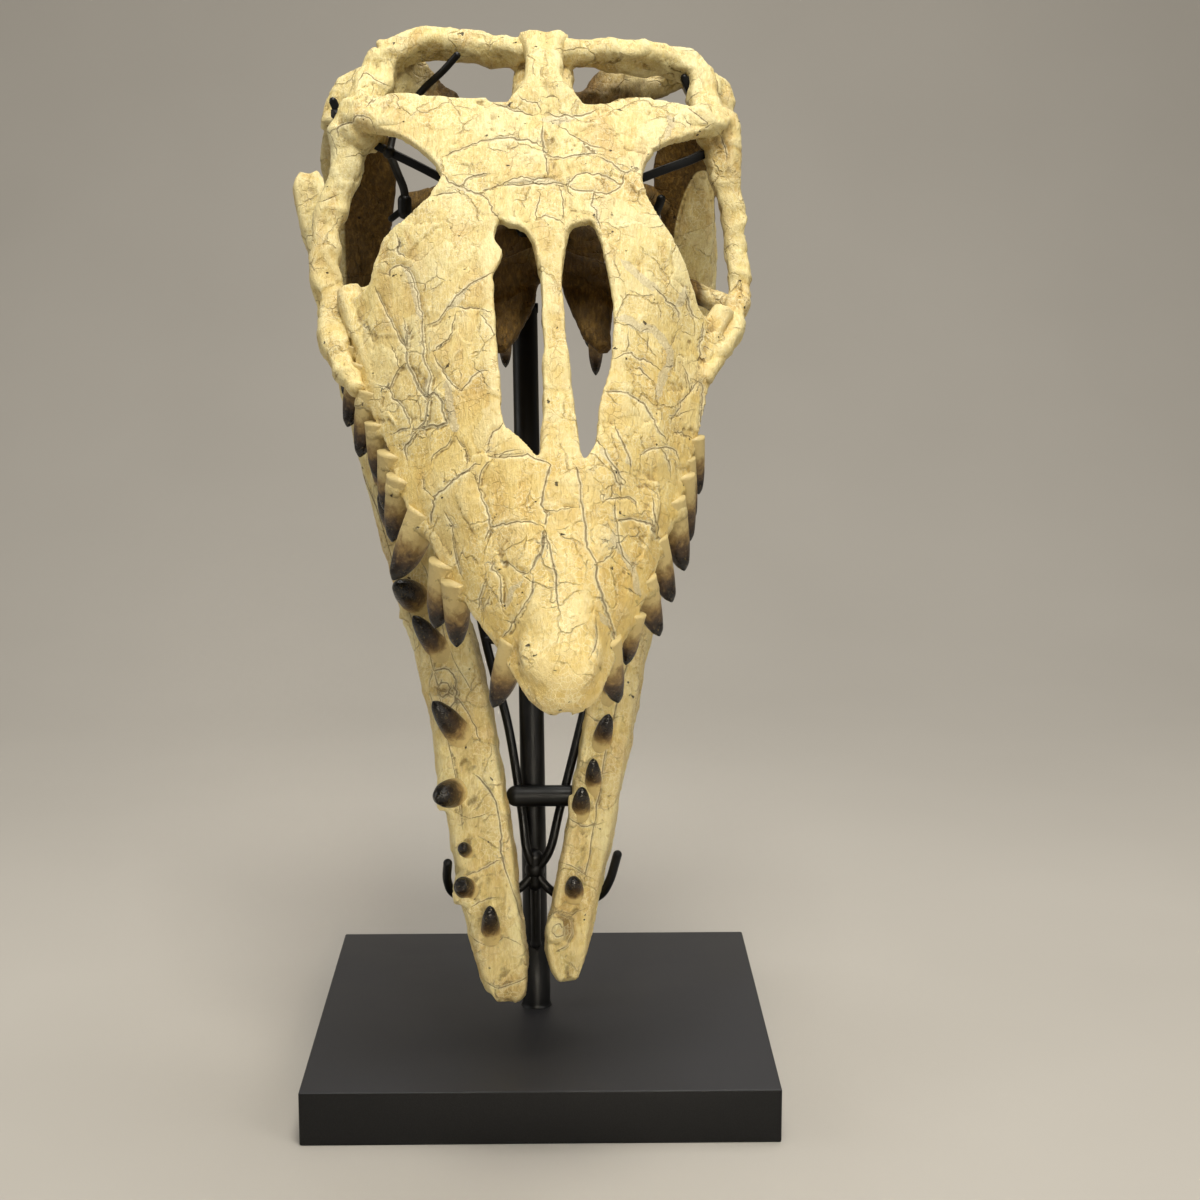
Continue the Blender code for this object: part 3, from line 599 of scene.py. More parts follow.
RIGHT_JAW_TEETH = [
    ((272, 62, -2), (296, 70, 22), 8),
    ((230, 54, -2), (249, 60, 20), 8),
    ((191, 46, -2), (210, 46, 20), 7),
    ((168, 35, -2), (185, 36, 20), 8),
    ((96, 29, -3), (108, 28, 14), 8),
]
LEFT_JAW_STUMPS = [((281, -84, -6), (284, -86, 3), 9)]
RIGHT_JAW_STUMPS = [((62, 15, -8), (64, 14, 7), 11)]
JAW_VOXEL = 0.0020
JAW_RELIEF = (4.5, 1.2, 2.4, 2.2)
LIP_REACH = 4  # how far the lip of bone round a tooth reaches past it, in millimetres
LIP_ROWS = ((-1, 5), (0, 1), (1, 5))  # place along the jaw, in reaches, and depth under the root
LIP_HEIGHT = 5
TOOTH_ROLL = (0.3, 0.2, 1)
TOOTH_TAPER = [  # half width and half height from root to tip, as shares of the radius
    (1.12, 1.12), (1, 1), (0.95, 0.92), (0.82, 0.78), (0.5, 0.48), (0.22, 0.22), (0.05, 0.05),
]
# Painted shade round the roots of the teeth: its reach in millimetres and its share.
SOCKET_SHADE_REACH = 5.5
SOCKET_SHADE_SHARE = 0.2
# The inward face of each jaw is darkened as painted shade and dirt.
INWARD_FROM = 0.4
INWARD_SHADE = 0.85
DARKEST_INWARD = 0.5
JAW_TROUGH = (-3.0, 0.42)  # height in millimetres, and width in half widths of the jaw
JAW_EDGE = (2.2, 0.17)
JAW_EDGE_PLACE = 0.78
JAW_WAVE_HEIGHT = 1.2
JAW_WAVE_WIDTH = 0.6
JAW_TOP = 8  # how far below its top the jaw's forms fade out, in millimetres
BONE_SIDES = 28
BONE_STEPS = 8
SOFTEN_ROUNDS = 3
HOLLOW_ROUNDS = 6
HOLLOW_DEPTH = 0.0024
MOST_TRIANGLES = 192000
TRACE_STEPS = 4
TRACE_MARGIN = 9  # pixels round a traced line in which its distance is worked out
CRACK_REACH = 3.4
CRACK_FADE = 7.0
CRACK_JITTER = 0.7
CRACK_SPAN = 4.0
FAR_AWAY = 99.0
LEAST_FACING = 0.12
GROOVE = (-1.1, 1.5)  # height for each millimetre of half width, then its own width
STEP = (0.8, 1.7)  # height and width of the step beside a wide crack
STEP_FROM = 0.45
RELIEF_INPUTS = ("Lump Depth", "Plate Depth", "Pit Depth", "Ridge Depth")
RELIEF_GRAINS = {"lump": (0.034, 2.0, 0.5), "pit": (0.0075, 4.0, 0.62), "ridge": (0.042, 1.0, 0.5)}
RELIEF_WARP = 60.0  # lumps in a metre of the noise that bends the plates
RELIEF_BEND = (0.012, 0.012, 0.012)
PLATES_A_METRE = 30.0
ADD = {"operation": "ADD"}
LESS = {"operation": "SUBTRACT"}
UNSIGNED = {"operation": "ABSOLUTE"}
EDGES = {"feature": "DISTANCE_TO_EDGE"}
VECTOR = "ShaderNodeVectorMath"
CELLS = "ShaderNodeTexVoronoi"
MAPPING = "ShaderNodeMapping"
# Marks baked on the skin; inner is the share of painted shade there.
SKIN_MARKS = ("hollow", "infill", "crack", "crack_half", "inner")
BONE_RUNS = {"along": 0.28, "drawn": 0.16}  # how much a grain is drawn out along the bone
BONE_NOISES = {  # how it runs, grain in metres, detail, roughness, warp
    "broad": ("plain", 0.085, 3.0, 0.5, 0.0),
    "patch": ("along", 0.016, 6.0, 0.62, 0.5),
    "fibre": ("along", 0.0032, 6.0, 0.66, 0.7),
    "grit": ("plain", 0.0016, 4.0, 0.6, 0.0),
    "strand": ("drawn", 0.0014, 3.0, 0.6, 1.2),
    "veil": ("plain", 0.03, 3.0, 0.5, 0.0),
    "pocks": ("plain", 0.0068, 2.0, 0.5, 0.0),
}
BONE_WARP = 70.0  # lumps in a metre of the noise that bends the cells
BONE_BEND = (0.014, 0.014, 0.014)
BONE_CELLS = {"wide": 31.0, "close": 92.0, "flake": 210.0}  # cells in a metre
BONE_FRAYS = {  # the pattern that frays the edge of a mark, and how much
    "infill": ("patch", 1.6), "crack": ("grit", 0.9), "inner": ("patch", 0.5),
}
BONE_MASKS = {  # the product of patterns that are eased from low to high, with the value at each
    "dark_fibre": [("fibre", 0.36, 0.58, 0.32, 0.0)],
    "pale_fibre": [("fibre", 0.54, 0.7, 0.0, 0.5)],
    "dark_strand": [("strand", 0.34, 0.5, 0.32, 0.0)],
    "pale_strand": [("strand", 0.54, 0.68, 0.0, 0.36)],
    "low": [("rise", 0.8, 0.5, 0.0, 1.0)],
    "brown_plate": [("shard", 0.55, 1.0, 0.0, 0.3)],
    "pale_plate": [("shard", 0.0, 0.4, 0.28, 0.0)],
    "curl": [("flake", 0.01, 0.09, 0.5, 0.0), ("veil", 0.38, 0.6, 0.0, 1.0)],
    "net": [("wide", 0.006, 0.03, 1.0, 0.0), ("veil", 0.46, 0.6, 0.0, 1.0)],
    "craze": [("close", 0.006, 0.04, 0.75, 0.0), ("patch", 0.52, 0.42, 0.0, 1.0)],
    # Painted shade and dirt: hollows of the skin are darkened to brown.
    "dirt": [("hollow", 0.56, 0.82, 0.0, 1.0), ("grit", 0.25, 0.6, 0.55, 1.0)],
    # Painted highlight and wear: convex spots of the skin are lightened.
    "worn": [("hollow", 0.46, 0.26, 0.0, 0.28)],
    "matrix": [("infill", 0.3, 0.6, 0.0, 1.0)],
    "pale_matrix": [("grit", 0.35, 0.65, 0.0, 1.0)],
    "line": [("inside", -0.22, 0.16, 0.0, 1.0)],
    # Painted highlight and wear: a pale rim lightens the bone just beside each crack.
    "rim": [("inside", -1.7, -0.5, 0.0, 1.0), ("half", 0.05, 0.4, 0.0, 0.6)],
    "wide_line": [("half", 0.3, 0.7, 0.0, 1.0)],
    # Painted shade: where the inner mark is high, the bone is darkened to a deep brown.
    "deep": [("inner", 0.2, 0.8, 0.0, 0.94)],
    "pits": [("pocks", 0.71, 0.77, 0.0, 1.0)],
}
BONE_TONES = [
    (0.36, "#CAA65A"), (0.44, "#DCBE75"), (0.51, "#E5CE84"),
    (0.59, "#ECDA95"), (0.68, "#F2E4A9"), (0.8, "#F7EEC2"),
]
# The browns of the painted shade on inner faces, in the mouth and on the quadrates.
PAINTED_SHADE_TONES = [(0.3, "#291906"), (0.5, "#50350E"), (0.7, "#7E5E26")]
BONE_LAYERS = [  # mask, its strength, and the colour or colour pattern that it lays over the bone
    ("dark_fibre", 1.0, "#B8985A"),
    ("pale_fibre", 1.0, "#F8EFC4"),
    ("dark_strand", 1.0, "#B59350"),
    ("pale_strand", 1.0, "#FAEFC2"),
    ("low", None, "#E0B853"),
    ("brown_plate", 1.0, "#D3B878"),
    ("pale_plate", 1.0, "#F6ECBC"),
    ("curl", 1.0, "#FBF1C6"),
    # Painted shade and dirt in the hollows.
    ("dirt", 0.7, "#7C5E30"),
    # Painted highlight and wear on convex spots.
    ("worn", 1.0, "#F8ECBA"),
    ("craze", 0.32, "#A5854A"),
    ("net", 0.36, "#8C6C38"),
    ("matrix", 0.65, "grey"),
    # Painted highlight and wear beside the cracks.
    ("rim", 1.0, "#F6EBC0"),
    ("line", 0.6, "vein"),
    # Painted shade on inner faces, in the mouth and on the quadrates.
    ("deep", 1.0, "brown"),
    ("pits", 0.9, "#2A1E10"),
]
BONE_HEIGHTS = {  # each pattern's share of the bump's depth, which is in metres
    "patch": 0.5, "fibre": 0.55, "grit": 0.22, "strand": 0.3,
    "line": -0.8, "net": -0.5, "craze": -0.25, "pits": -0.8,
}
BONE_BUMP = 0.0021
ENAMEL_BLOTCH = 0.007
ENAMEL_STREAK = 0.0022
TOOTH_TONES = [(0.25, "#D2BC80"), (0.37, "#9A7E4B"), (0.49, "#523D25"), (0.61, "#20160D"), (0.8, "#0B0805")]


def bone_frame(origin, rear):
    """Millimetres across, back and up of a bone whose second axis runs from origin to rear."""
    back = (rear - origin).normalized()
    across = back.cross(Vector((0, 0, 1))).normalized()
    matrix = Matrix((across, back, across.cross(back))).transposed().to_4x4()
    matrix.translation = origin
    return matrix @ Matrix.Scale(MILLIMETRE, 4)


def in_frame(bone, points):
    """Columns of across, along and up of points of the world in a bone's frame."""
    matrix = np.array(bone.inverted())
    return (points @ matrix[:3, :3].T + matrix[:3, 3]).T


def loft(bm, bone, stations, up=(0, 0, 1), sides=BONE_SIDES, steps=BONE_STEPS, squareness=2.4, mark=None):
    """A closed bone through stations of (along, across, up, half width, half height)."""
    rows = smooth_path(stations, steps)
    centres = [Vector((row[1], row[0], row[2])) for row in rows]
    rings = []
    for i, row in enumerate(rows):
        ahead = centres[min(i + 1, len(centres) - 1)] - centres[max(i - 1, 0)]
        side = ahead.cross(Vector(up)).normalized()
        top = side.cross(ahead).normalized()
        ring = []
        for turn in np.arange(sides) * 2 * math.pi / sides:
            cos, sin = math.cos(turn), math.sin(turn)
            wide = math.copysign(abs(cos) ** (2 / squareness), cos) * row[3]
            high = math.copysign(abs(sin) ** (2 / squareness), sin) * row[4]
            ring.append(bm.verts.new(bone @ (centres[i] + side * wide + top * high)))
            if mark:
                ring[-1][mark] = i / (len(rows) - 1)
        rings.append(ring)
    for first, second in zip(rings, rings[1:]):
        for k in range(sides):
            following = (k + 1) % sides
            bm.faces.new((first[k], first[following], second[following], second[k]))
    bm.faces.new(reversed(rings[0]))
    bm.faces.new(rings[-1])


def relief_tree():
    """A nodes tree that lifts and sinks a bone's skin: lumps, plates at uneven heights, pits, ridges."""
    tree, names, given = open_tree(
        "bone_relief", [*((key, "Float") for key in RELIEF_INPUTS), ("Skin", "Material")]
    )
    node = partial(add_node, tree)
    where = node("GeometryNodeInputPosition", {}, {})
    even = {}
    for key, (grain, detail, rough) in RELIEF_GRAINS.items():
        found = node(NOISE, {}, {"Vector": where, "Scale": 1 / grain, "Detail": detail, "Roughness": rough})
        even[key] = node(MATH, LESS, (found, 0.5))
    warp = node(NOISE, {}, {"Vector": where, "Scale": RELIEF_WARP, "Detail": 3.0}, "Color")
    bent = {"Vector": node(VECTOR, TIMES_PLUS, (warp, RELIEF_BEND, where)), "Scale": PLATES_A_METRE}
    plate = node(SPLIT, {}, (node(CELLS, {}, bent, "Color"),))
    groove = node(RANGE, SMOOTH, (node(CELLS, EDGES, bent, "Distance"), 0.0, 0.05, -0.25, 0.0))
    plate = node(MATH, ADD, (node(MATH, LESS, (plate, 0.5)), groove))
    crest = node(MATH, TIMES_PLUS, (node(MATH, UNSIGNED, (even["ridge"],)), -4.0, 0.4))
    height = 0.0
    for form, key in zip((even["lump"], plate, even["pit"], crest), RELIEF_INPUTS):
        height = node(MATH, TIMES_PLUS, (form, given[key], height))
    normal = node("GeometryNodeInputNormal", {}, {})
    lift = node(VECTOR, {"operation": "SCALE"}, {0: normal, "Scale": height})
    moved = node("GeometryNodeSetPosition", {}, {"Geometry": given["Geometry"], "Offset": lift})
    close_tree(tree, moved, given["Skin"])
    return tree, names


def vertex_arrays(mesh):
    found = []
    for rows, key in ((mesh.vertices, "co"), (mesh.vertex_normals, "vector")):
        values = np.empty(len(mesh.vertices) * 3, np.float32)
        rows.foreach_get(key, values)
        found.append(values.reshape(-1, 3).astype(float))
    return found


def line_field(points, normals, lines, on_face):
    """Signed distance to the nearest traced line, and that line's half width, in millimetres."""
    pixels, depth = photo_pixels(points)
    scale = depth / MILLIMETRE / FOCAL_PIXELS
    to_lens = np.array(LENS_PLACE) - points
    facing = (to_lens * normals).sum(axis=1) / np.linalg.norm(to_lens, axis=1)
    seen = on_face & (facing > LEAST_FACING)
    nearest = np.full(len(points), FAR_AWAY)
    signed = np.full(len(points), CRACK_SPAN)
    half = np.zeros(len(points))
    shake = np.random.default_rng(7)
    for trace, width in lines:
        path = smooth_path(trace, TRACE_STEPS)
        path[1:-1] += shake.normal(0, CRACK_JITTER, path[1:-1].shape)
        steps = np.linalg.norm(np.diff(path, axis=0), axis=1)
        run = np.concatenate([[0], np.cumsum(steps)])
        low, high = path.min(axis=0) - TRACE_MARGIN, path.max(axis=0) + TRACE_MARGIN
        inside = np.nonzero(seen & (pixels > low).all(axis=1) & (pixels < high).all(axis=1))[0]
        for k, step in enumerate(steps):
            edge = path[k + 1] - path[k]
            offset = pixels[inside] - path[k]
            u = np.clip(offset @ edge / step**2, 0, 1)
            gap = offset - u[:, None] * edge
            distance = np.hypot(gap[:, 0], gap[:, 1]) * scale[inside]
            closer = distance < nearest[inside]
            found = inside[closer]
            arc = run[k] + u[closer] * step
            fade = np.clip(np.minimum(arc, run[-1] - arc) / CRACK_FADE, 0.25, 1.0)
            turn = edge[0] * offset[closer, 1] - edge[1] * offset[closer, 0]
            nearest[found] = distance[closer]
            signed[found] = distance[closer] * np.where(turn < 0, -1, 1)
            half[found] = width * fade
    half[nearest > CRACK_REACH] = 0
    return np.clip(signed, -CRACK_SPAN, CRACK_SPAN), half, nearest


def hollows(mesh, points, normals):
    """How hollow the skin is at each vertex, about 0 to 1, with 0.5 where it is flat."""
    ends = np.empty(len(mesh.edges) * 2, np.int32)
    mesh.edges.foreach_get("vertices", ends)
    ends = ends.reshape(-1, 2)
    count = np.bincount(ends.ravel(), minlength=len(points))[:, None]
    smooth = points.copy()
    for _ in range(HOLLOW_ROUNDS):
        total = np.zeros_like(smooth)
        for a, b in ((0, 1), (1, 0)):
            for axis in range(3):
                total[:, axis] += np.bincount(ends[:, a], smooth[ends[:, b], axis], minlength=len(points))
        smooth = total / count
    return np.clip(0.5 + ((smooth - points) * normals).sum(axis=1) / HOLLOW_DEPTH, 0, 1)


def ridge(away, height, width):
    """A soft ridge, or a trough if its height is below 0, by the distance from its line."""
    return height * np.exp(-((away / width) ** 2))


def bone_skin(
    name, cad_node, bm, voxel, relief, skin, lines=(), bands=(), on_face=None, inner=None, swell=None
):
    """Fuses overlapping forms into one bone, carves its relief and cracks, marks and dresses it."""
    drawn = object_of(name, bm)
    fuse = drawn.modifiers.new("fuse", "REMESH")
    fuse.mode = "VOXEL"
    fuse.voxel_size = voxel
    drawn.modifiers.new("soften", "SMOOTH").iterations = SOFTEN_ROUNDS
    carve = drawn.modifiers.new("relief", "NODES")
    carve.node_group, names = BONE_RELIEF
    for key, depth in zip(RELIEF_INPUTS, relief):
        carve[names[key]] = depth * MILLIMETRE
    carve[names["Skin"]] = skin
    made = plain_mesh(drawn, name)
    everywhere = on_face or (lambda points: np.ones(len(points), bool))
    points, normals = vertex_arrays(made.data)
    signed, half, nearest = line_field(points, normals, lines, everywhere(points))
    step = STEP[0] * (half > STEP_FROM) * np.sign(signed) * np.exp(-nearest / STEP[1])
    lift = ridge(nearest, GROOVE[0] * half, GROOVE[1]) + step + (swell(points) if swell else 0)
    moved = points + normals * (lift * MILLIMETRE)[:, None]
    made.data.vertices.foreach_set("co", moved.astype(np.float32).ravel())
    made.data.calc_loop_triangles()
    triangles = len(made.data.loop_triangles)
    if triangles > MOST_TRIANGLES:
        made.modifiers.new("thin", "DECIMATE").ratio = MOST_TRIANGLES / triangles
        made = plain_mesh(made, name)
    mesh = made.data
    points, normals = vertex_arrays(mesh)
    face = everywhere(points)
    signed, half, nearest = line_field(points, normals, lines, face)
    _, width, distance = line_field(points, normals, bands, face)
    # The inner mark is the share of painted shade on the skin.
    marks = {
        "crack": signed,
        "crack_half": half,
        "infill": np.clip(1.6 - distance / np.maximum(width, 0.01), 0, 1) * (width > 0),
        "hollow": hollows(mesh, points, normals),
        "inner": inner(points, normals) if inner else np.zeros(len(points)),
    }
    for key, values in marks.items():
        mark = mesh.attributes.new(key, "FLOAT", "POINT")
        mark.data.foreach_set("value", values.astype(np.float32))
    mesh.materials.clear()
    mesh.materials.append(skin)
    mesh.shade_smooth()
    dress(made, cad_node)


def weighted(node, patterns, weights):
    """The sum of some patterns, each times its weight."""
    total = 0.0
    for key, weight in weights.items():
        total = node(MATH, TIMES_PLUS, (patterns[key], weight, total))
    return total


def fossil_bone(name, lean=-0.84, gold=0.0):
    # Mineralised bone, waxed: cream and ochre with brown veins, silky where the skin is whole.
    made, node, shader, where = new_material(name)
    level = node(MAPPING, {}, {"Vector": where, "Rotation": (lean, 0, 0)})
    spaces = {"plain": where}
    for key, share in BONE_RUNS.items():
        spaces[key] = node(MAPPING, {}, {"Vector": level, "Scale": (1.0, share, 1.0)})
    skin = {key: node("ShaderNodeAttribute", {"attribute_name": key}, {}, "Fac") for key in SKIN_MARKS}
    for key, (space, grain, detail, rough, warp) in BONE_NOISES.items():
        look = {"Scale": 1 / grain, "Detail": detail, "Roughness": rough, "Distortion": warp}
        skin[key] = node(NOISE, {}, {"Vector": spaces[space], **look})
    warp = node(NOISE, {}, {"Vector": where, "Scale": BONE_WARP, "Detail": 4.0}, "Color")
    bent = node(VECTOR, TIMES_PLUS, (warp, BONE_BEND, where))
    shard = node(CELLS, {}, {"Vector": bent, "Scale": BONE_CELLS["wide"]}, "Color")
    skin["shard"] = node(SPLIT, {}, (shard,))
    for key, scale in BONE_CELLS.items():
        skin[key] = node(CELLS, EDGES, {"Vector": bent, "Scale": scale}, "Distance")
    skin["rise"] = node(SPLIT, {}, (where,), 2)
    skin["crack"] = node(MATH, UNSIGNED, (skin["crack"],))
    for key, (pattern, strength) in BONE_FRAYS.items():
        fray = node(MATH, LESS, (skin[pattern], 0.5))
        skin[key] = node(MATH, TIMES_PLUS, (fray, strength, skin[key]))
    broken = node(RANGE, SMOOTH, (skin["veil"], 0.36, 0.6, 0.34, 0.7))
    skin["half"] = node(MATH, TIMES, (skin["crack_half"], broken))
    skin["inside"] = node(MATH, LESS, (skin["half"], skin["crack"]))
    for key, spans in BONE_MASKS.items():
        skin[key], *others = [node(RANGE, SMOOTH, (skin[pattern], *span)) for pattern, *span in spans]
        for other in others:
            skin[key] = node(MATH, TIMES, (skin[key], other))
    skin["grey"] = node(MIX, COLOURS, {0: skin["pale_matrix"], 6: linear("#BFB08A"), 7: linear("#DDD1AE")}, 2)
    skin["vein"] = node(MIX, COLOURS, {0: skin["wide_line"], 6: linear("#94723A"), 7: linear("#5A411C")}, 2)
    skin["brown"] = node(RAMP, {"stops": PAINTED_SHADE_TONES}, {"Fac": skin["fibre"]})
    colour = node(RAMP, {"stops": BONE_TONES}, {"Fac": weighted(node, skin, {"patch": 0.6, "broad": 0.45})})
    # Some layers are painted light: shade in hollows, on inner faces and round the teeth, and highlights on
    # convex spots and beside cracks.
    for mask, strength, over in BONE_LAYERS:
        factor = node(MATH, TIMES, (skin[mask], gold if strength is None else strength))
        over = skin[over] if over in skin else linear(over)
        colour = node(MIX, COLOURS, {0: factor, 6: colour, 7: over}, 2)
    dull = node(MATH, ADD, (skin["dirt"], skin["line"]))
    height = weighted(node, skin, BONE_HEIGHTS)
    inputs = {
        "Base Color": colour,
        "Roughness": node(RANGE, SMOOTH, (dull, 0.0, 1.0, 0.46, 0.8)),
        "Specular IOR Level": node(RANGE, SMOOTH, (skin["deep"], 0.0, 0.94, 0.42, 0.12)),
        "Normal": node(BUMP, {}, {"Height": height, "Distance": BONE_BUMP, "Strength": 1.0}),
    }
    feed(shader, inputs)
    return made


def enamel(name, early):
    # Tooth enamel and dentine: tan and matt at the root, brown then near black and glossy at the tip.
    made, node, shader, where = new_material(name)
    look = {"Detail": 5.0, "Roughness": 0.6, "Distortion": 0.4}
    blotch = node(NOISE, {}, {"Vector": where, "Scale": 1 / ENAMEL_BLOTCH, **look})
    streak = node(NOISE, {}, {"Vector": where, "Scale": 1 / ENAMEL_STREAK, "Detail": 4.0})
    rise = node("ShaderNodeAttribute", {"attribute_name": "rise"}, {}, "Fac")
    rise = node(MATH, ADD, (rise, early))
    rise = node(MATH, TIMES_PLUS, (node(MATH, LESS, (blotch, 0.5)), 0.4, rise))
    colour = node(RAMP, {"stops": TOOTH_TONES}, {"Fac": rise})
    pale = node(RANGE, SMOOTH, (streak, 0.55, 0.75, 0.0, 0.2))
    height = node(MATH, ADD, (blotch, streak))
    inputs = {
        "Base Color": node(MIX, COLOURS, {0: pale, 6: colour, 7: linear("#C9B27A")}, 2),
        "Roughness": node(RANGE, SMOOTH, (rise, 0.3, 0.8, 0.5, 0.2)),
        "Normal": node(BUMP, {}, {"Height": height, "Distance": 0.0006, "Strength": 1.0}),
    }
    feed(shader, inputs)
    return made


def tooth_row(name, bone, teeth, bow, cad_node, finish, sunk=0.3, stout=1.0, worn=1.0):
    """Curved cones from base to tip in a bone's frame, each sunk by a share of its length."""
    bm = bmesh.new()
    mark = bm.verts.layers.float.new("rise")
    for base, tip, radius in teeth:
        base = np.array(base, float)
        tip = base + (tip - base) * worn
        middle = (base + tip) / 2 + np.array((0, 0, bow))
        places = [
            base - (tip - base) * sunk,
            base,
            base * 0.6 + middle * 0.4,
            middle,
            tip + (middle - tip) * 0.35,
            tip + (middle - tip) * 0.1,
            tip,
        ]
        rows = [
            (*place, radius * stout * wide, radius * stout * high)
            for place, (wide, high) in zip(places, TOOTH_TAPER)
        ]
        loft(bm, bone, rows, up=TOOTH_ROLL, sides=24, steps=5, squareness=2.0, mark=mark)
    dress(object_of(name, bm, finish), cad_node)


BONE_RELIEF = relief_tree()
TOOTH_ENAMEL = enamel("fossil_tooth_enamel", 0.0)
JAW_TOOTH_ENAMEL = enamel("fossil_jaw_tooth_enamel", 0.1)
JAW_BONE = fossil_bone("fossil_jaw_bone", lean=-1.21)
JAW = bone_frame(JAW_START, JAW_END)


def painted_socket_shade(points, bone, teeth):
    """Painted shade round the root of each tooth, from 1 at the root to 0 about 6 mm away."""
    socket_shade = np.zeros(len(points))
    for base, _, radius in teeth:
        centre = np.array(bone @ Vector((base[1], base[0], base[2])))
        away = np.linalg.norm(points - centre, axis=1) / MILLIMETRE - radius
        socket_shade = np.maximum(socket_shade, np.clip(1 - away / SOCKET_SHADE_REACH, 0, 1))
    return socket_shade


def jaw_shade_and_dirt(points, normals):
    """Painted shade and dirt: the jaw's inward face is darker than its outer one, and painted shade darkens
    the bone round its teeth.
    """
    inward = -np.sign(points[:, 0]) * normals[:, 0]
    socket_shade = painted_socket_shade(points, JAW, LEFT_JAW_TEETH + RIGHT_JAW_TEETH)
    return np.maximum(np.clip((inward - INWARD_FROM) * INWARD_SHADE, 0, DARKEST_INWARD), socket_shade * SOCKET_SHADE_SHARE)


def jaw_swell(stations, points):
    """The tooth row sits in a shallow trough between two raised edges."""
    rows = smooth_path(stations, 4)
    across, along, up = in_frame(JAW, points)
    middle, height, wide = (np.interp(along, rows[:, 0], rows[:, k]) for k in (1, 2, 3))
    side = (across - middle) / wide
    waves = JAW_WAVE_HEIGHT * np.sin(along / 9 + 3 * np.sin(along / 31))
    forms = ridge(side, *JAW_TROUGH) + ridge(np.abs(side) - JAW_EDGE_PLACE, *JAW_EDGE)
    forms += ridge(side, waves, JAW_WAVE_WIDTH)
    return forms * np.clip((up - height) / JAW_TOP, 0, 1)


def lower_jaw(side, stations, coronoid, teeth, stumps, lines):
    bm = bmesh.new()
    loft(bm, JAW, stations, up=JAW_ROLL, squareness=2.8)
    loft(bm, JAW, coronoid)
    for (along, across, up), _, radius in teeth:
        lip = radius + LIP_REACH
        rows = [(along + lip * k, across, up - drop, lip * 0.9, LIP_HEIGHT) for k, drop in LIP_ROWS]
        loft(bm, JAW, rows, sides=16, steps=4)
    for base, tip, radius in stumps:
        rows = [(*base, radius, radius), (*tip, radius * 0.8, radius * 0.8)]
        loft(bm, JAW, rows, up=TOOTH_ROLL, sides=16)
    bone_skin(
        f"{side}_lower_jaw", f"mandible_{side}", bm, JAW_VOXEL, JAW_RELIEF, JAW_BONE, lines,
        inner=jaw_shade_and_dirt, swell=partial(jaw_swell, stations),
    )
    tooth_row(f"{side}_lower_jaw_teeth", JAW, teeth, 3, f"mandible_{side}", JAW_TOOTH_ENAMEL, stout=1.08)


lower_jaw("left", LEFT_JAW, LEFT_CORONOID, LEFT_JAW_TEETH, LEFT_JAW_STUMPS, LEFT_JAW_CRACKS)
lower_jaw("right", RIGHT_JAW, RIGHT_CORONOID, RIGHT_JAW_TEETH, RIGHT_JAW_STUMPS, RIGHT_JAW_CRACKS)

# The quadrates. A plate of bone hangs from each rear corner of the skull down to its jaw, with a rough grain
# that runs down it. Painted shade makes most of it dark brown.
LEFT_QUADRATE = [
    (644, -168, 8, 20, 9), (672, -163, 16, 23, 9), (712, -161, 42, 30, 8), (744, -163, 62, 33, 9),
    (768, -165, 76, 27, 12), (782, -166, 82, 16, 9),
]
RIGHT_QUADRATE = [
    (646, 140, 8, 19, 9), (674, 137, 16, 21, 9), (714, 133, 42, 27, 8), (744, 133, 62, 30, 9),
    (764, 137, 76, 24, 12), (776, 140, 82, 14, 9),
]
EAR_RIM = [
    (730, 146, 56, 7, 9), (706, 143, 44, 13, 10), (680, 141, 30, 16, 10), (655, 143, 16, 14, 10),
    (634, 146, 4, 8, 8),
]
PALE_EDGE = -0.174
QUADRATE_VOXEL = 0.0016
QUADRATE_RELIEF = (3.0, 0.8, 1.8, 2.0)
QUADRATE_SQUARENESS = (2.6, 2.4)  # of the plate and of its rim
EDGE_FADE = 0.006
EDGE_SHADE = 0.6
RIM_FADE = 3
QUADRATE_BONE = fossil_bone("fossil_quadrate_bone", lean=-1.21)


def quadrate_painted_shade(points, normals):
    """Painted shade, dark brown, but for the smooth pale rim on one plate and the rough outer edge of the
    other.
    """
    rim = np.full(len(points), FAR_AWAY)
    for along, across, up, wide, _ in smooth_path(EAR_RIM, 6):
        centre = np.array(JAW @ Vector((across, along, up)))
        rim = np.minimum(rim, np.linalg.norm(points - centre, axis=1) / MILLIMETRE - wide)
    edge = np.clip((PALE_EDGE - points[:, 0]) / EDGE_FADE, 0, EDGE_SHADE)
    return np.clip(rim / RIM_FADE - EDGE_SHADE, 0, 1) - edge


for side, forms in (("left", [LEFT_QUADRATE]), ("right", [RIGHT_QUADRATE, EAR_RIM])):
    bm = bmesh.new()
    for stations, squareness in zip(forms, QUADRATE_SQUARENESS):
        loft(bm, JAW, stations, squareness=squareness)
    bone_skin(
        f"{side}_quadrate_plate", f"quadrate_{side}", bm, QUADRATE_VOXEL, QUADRATE_RELIEF, QUADRATE_BONE,
        inner=quadrate_painted_shade,
    )

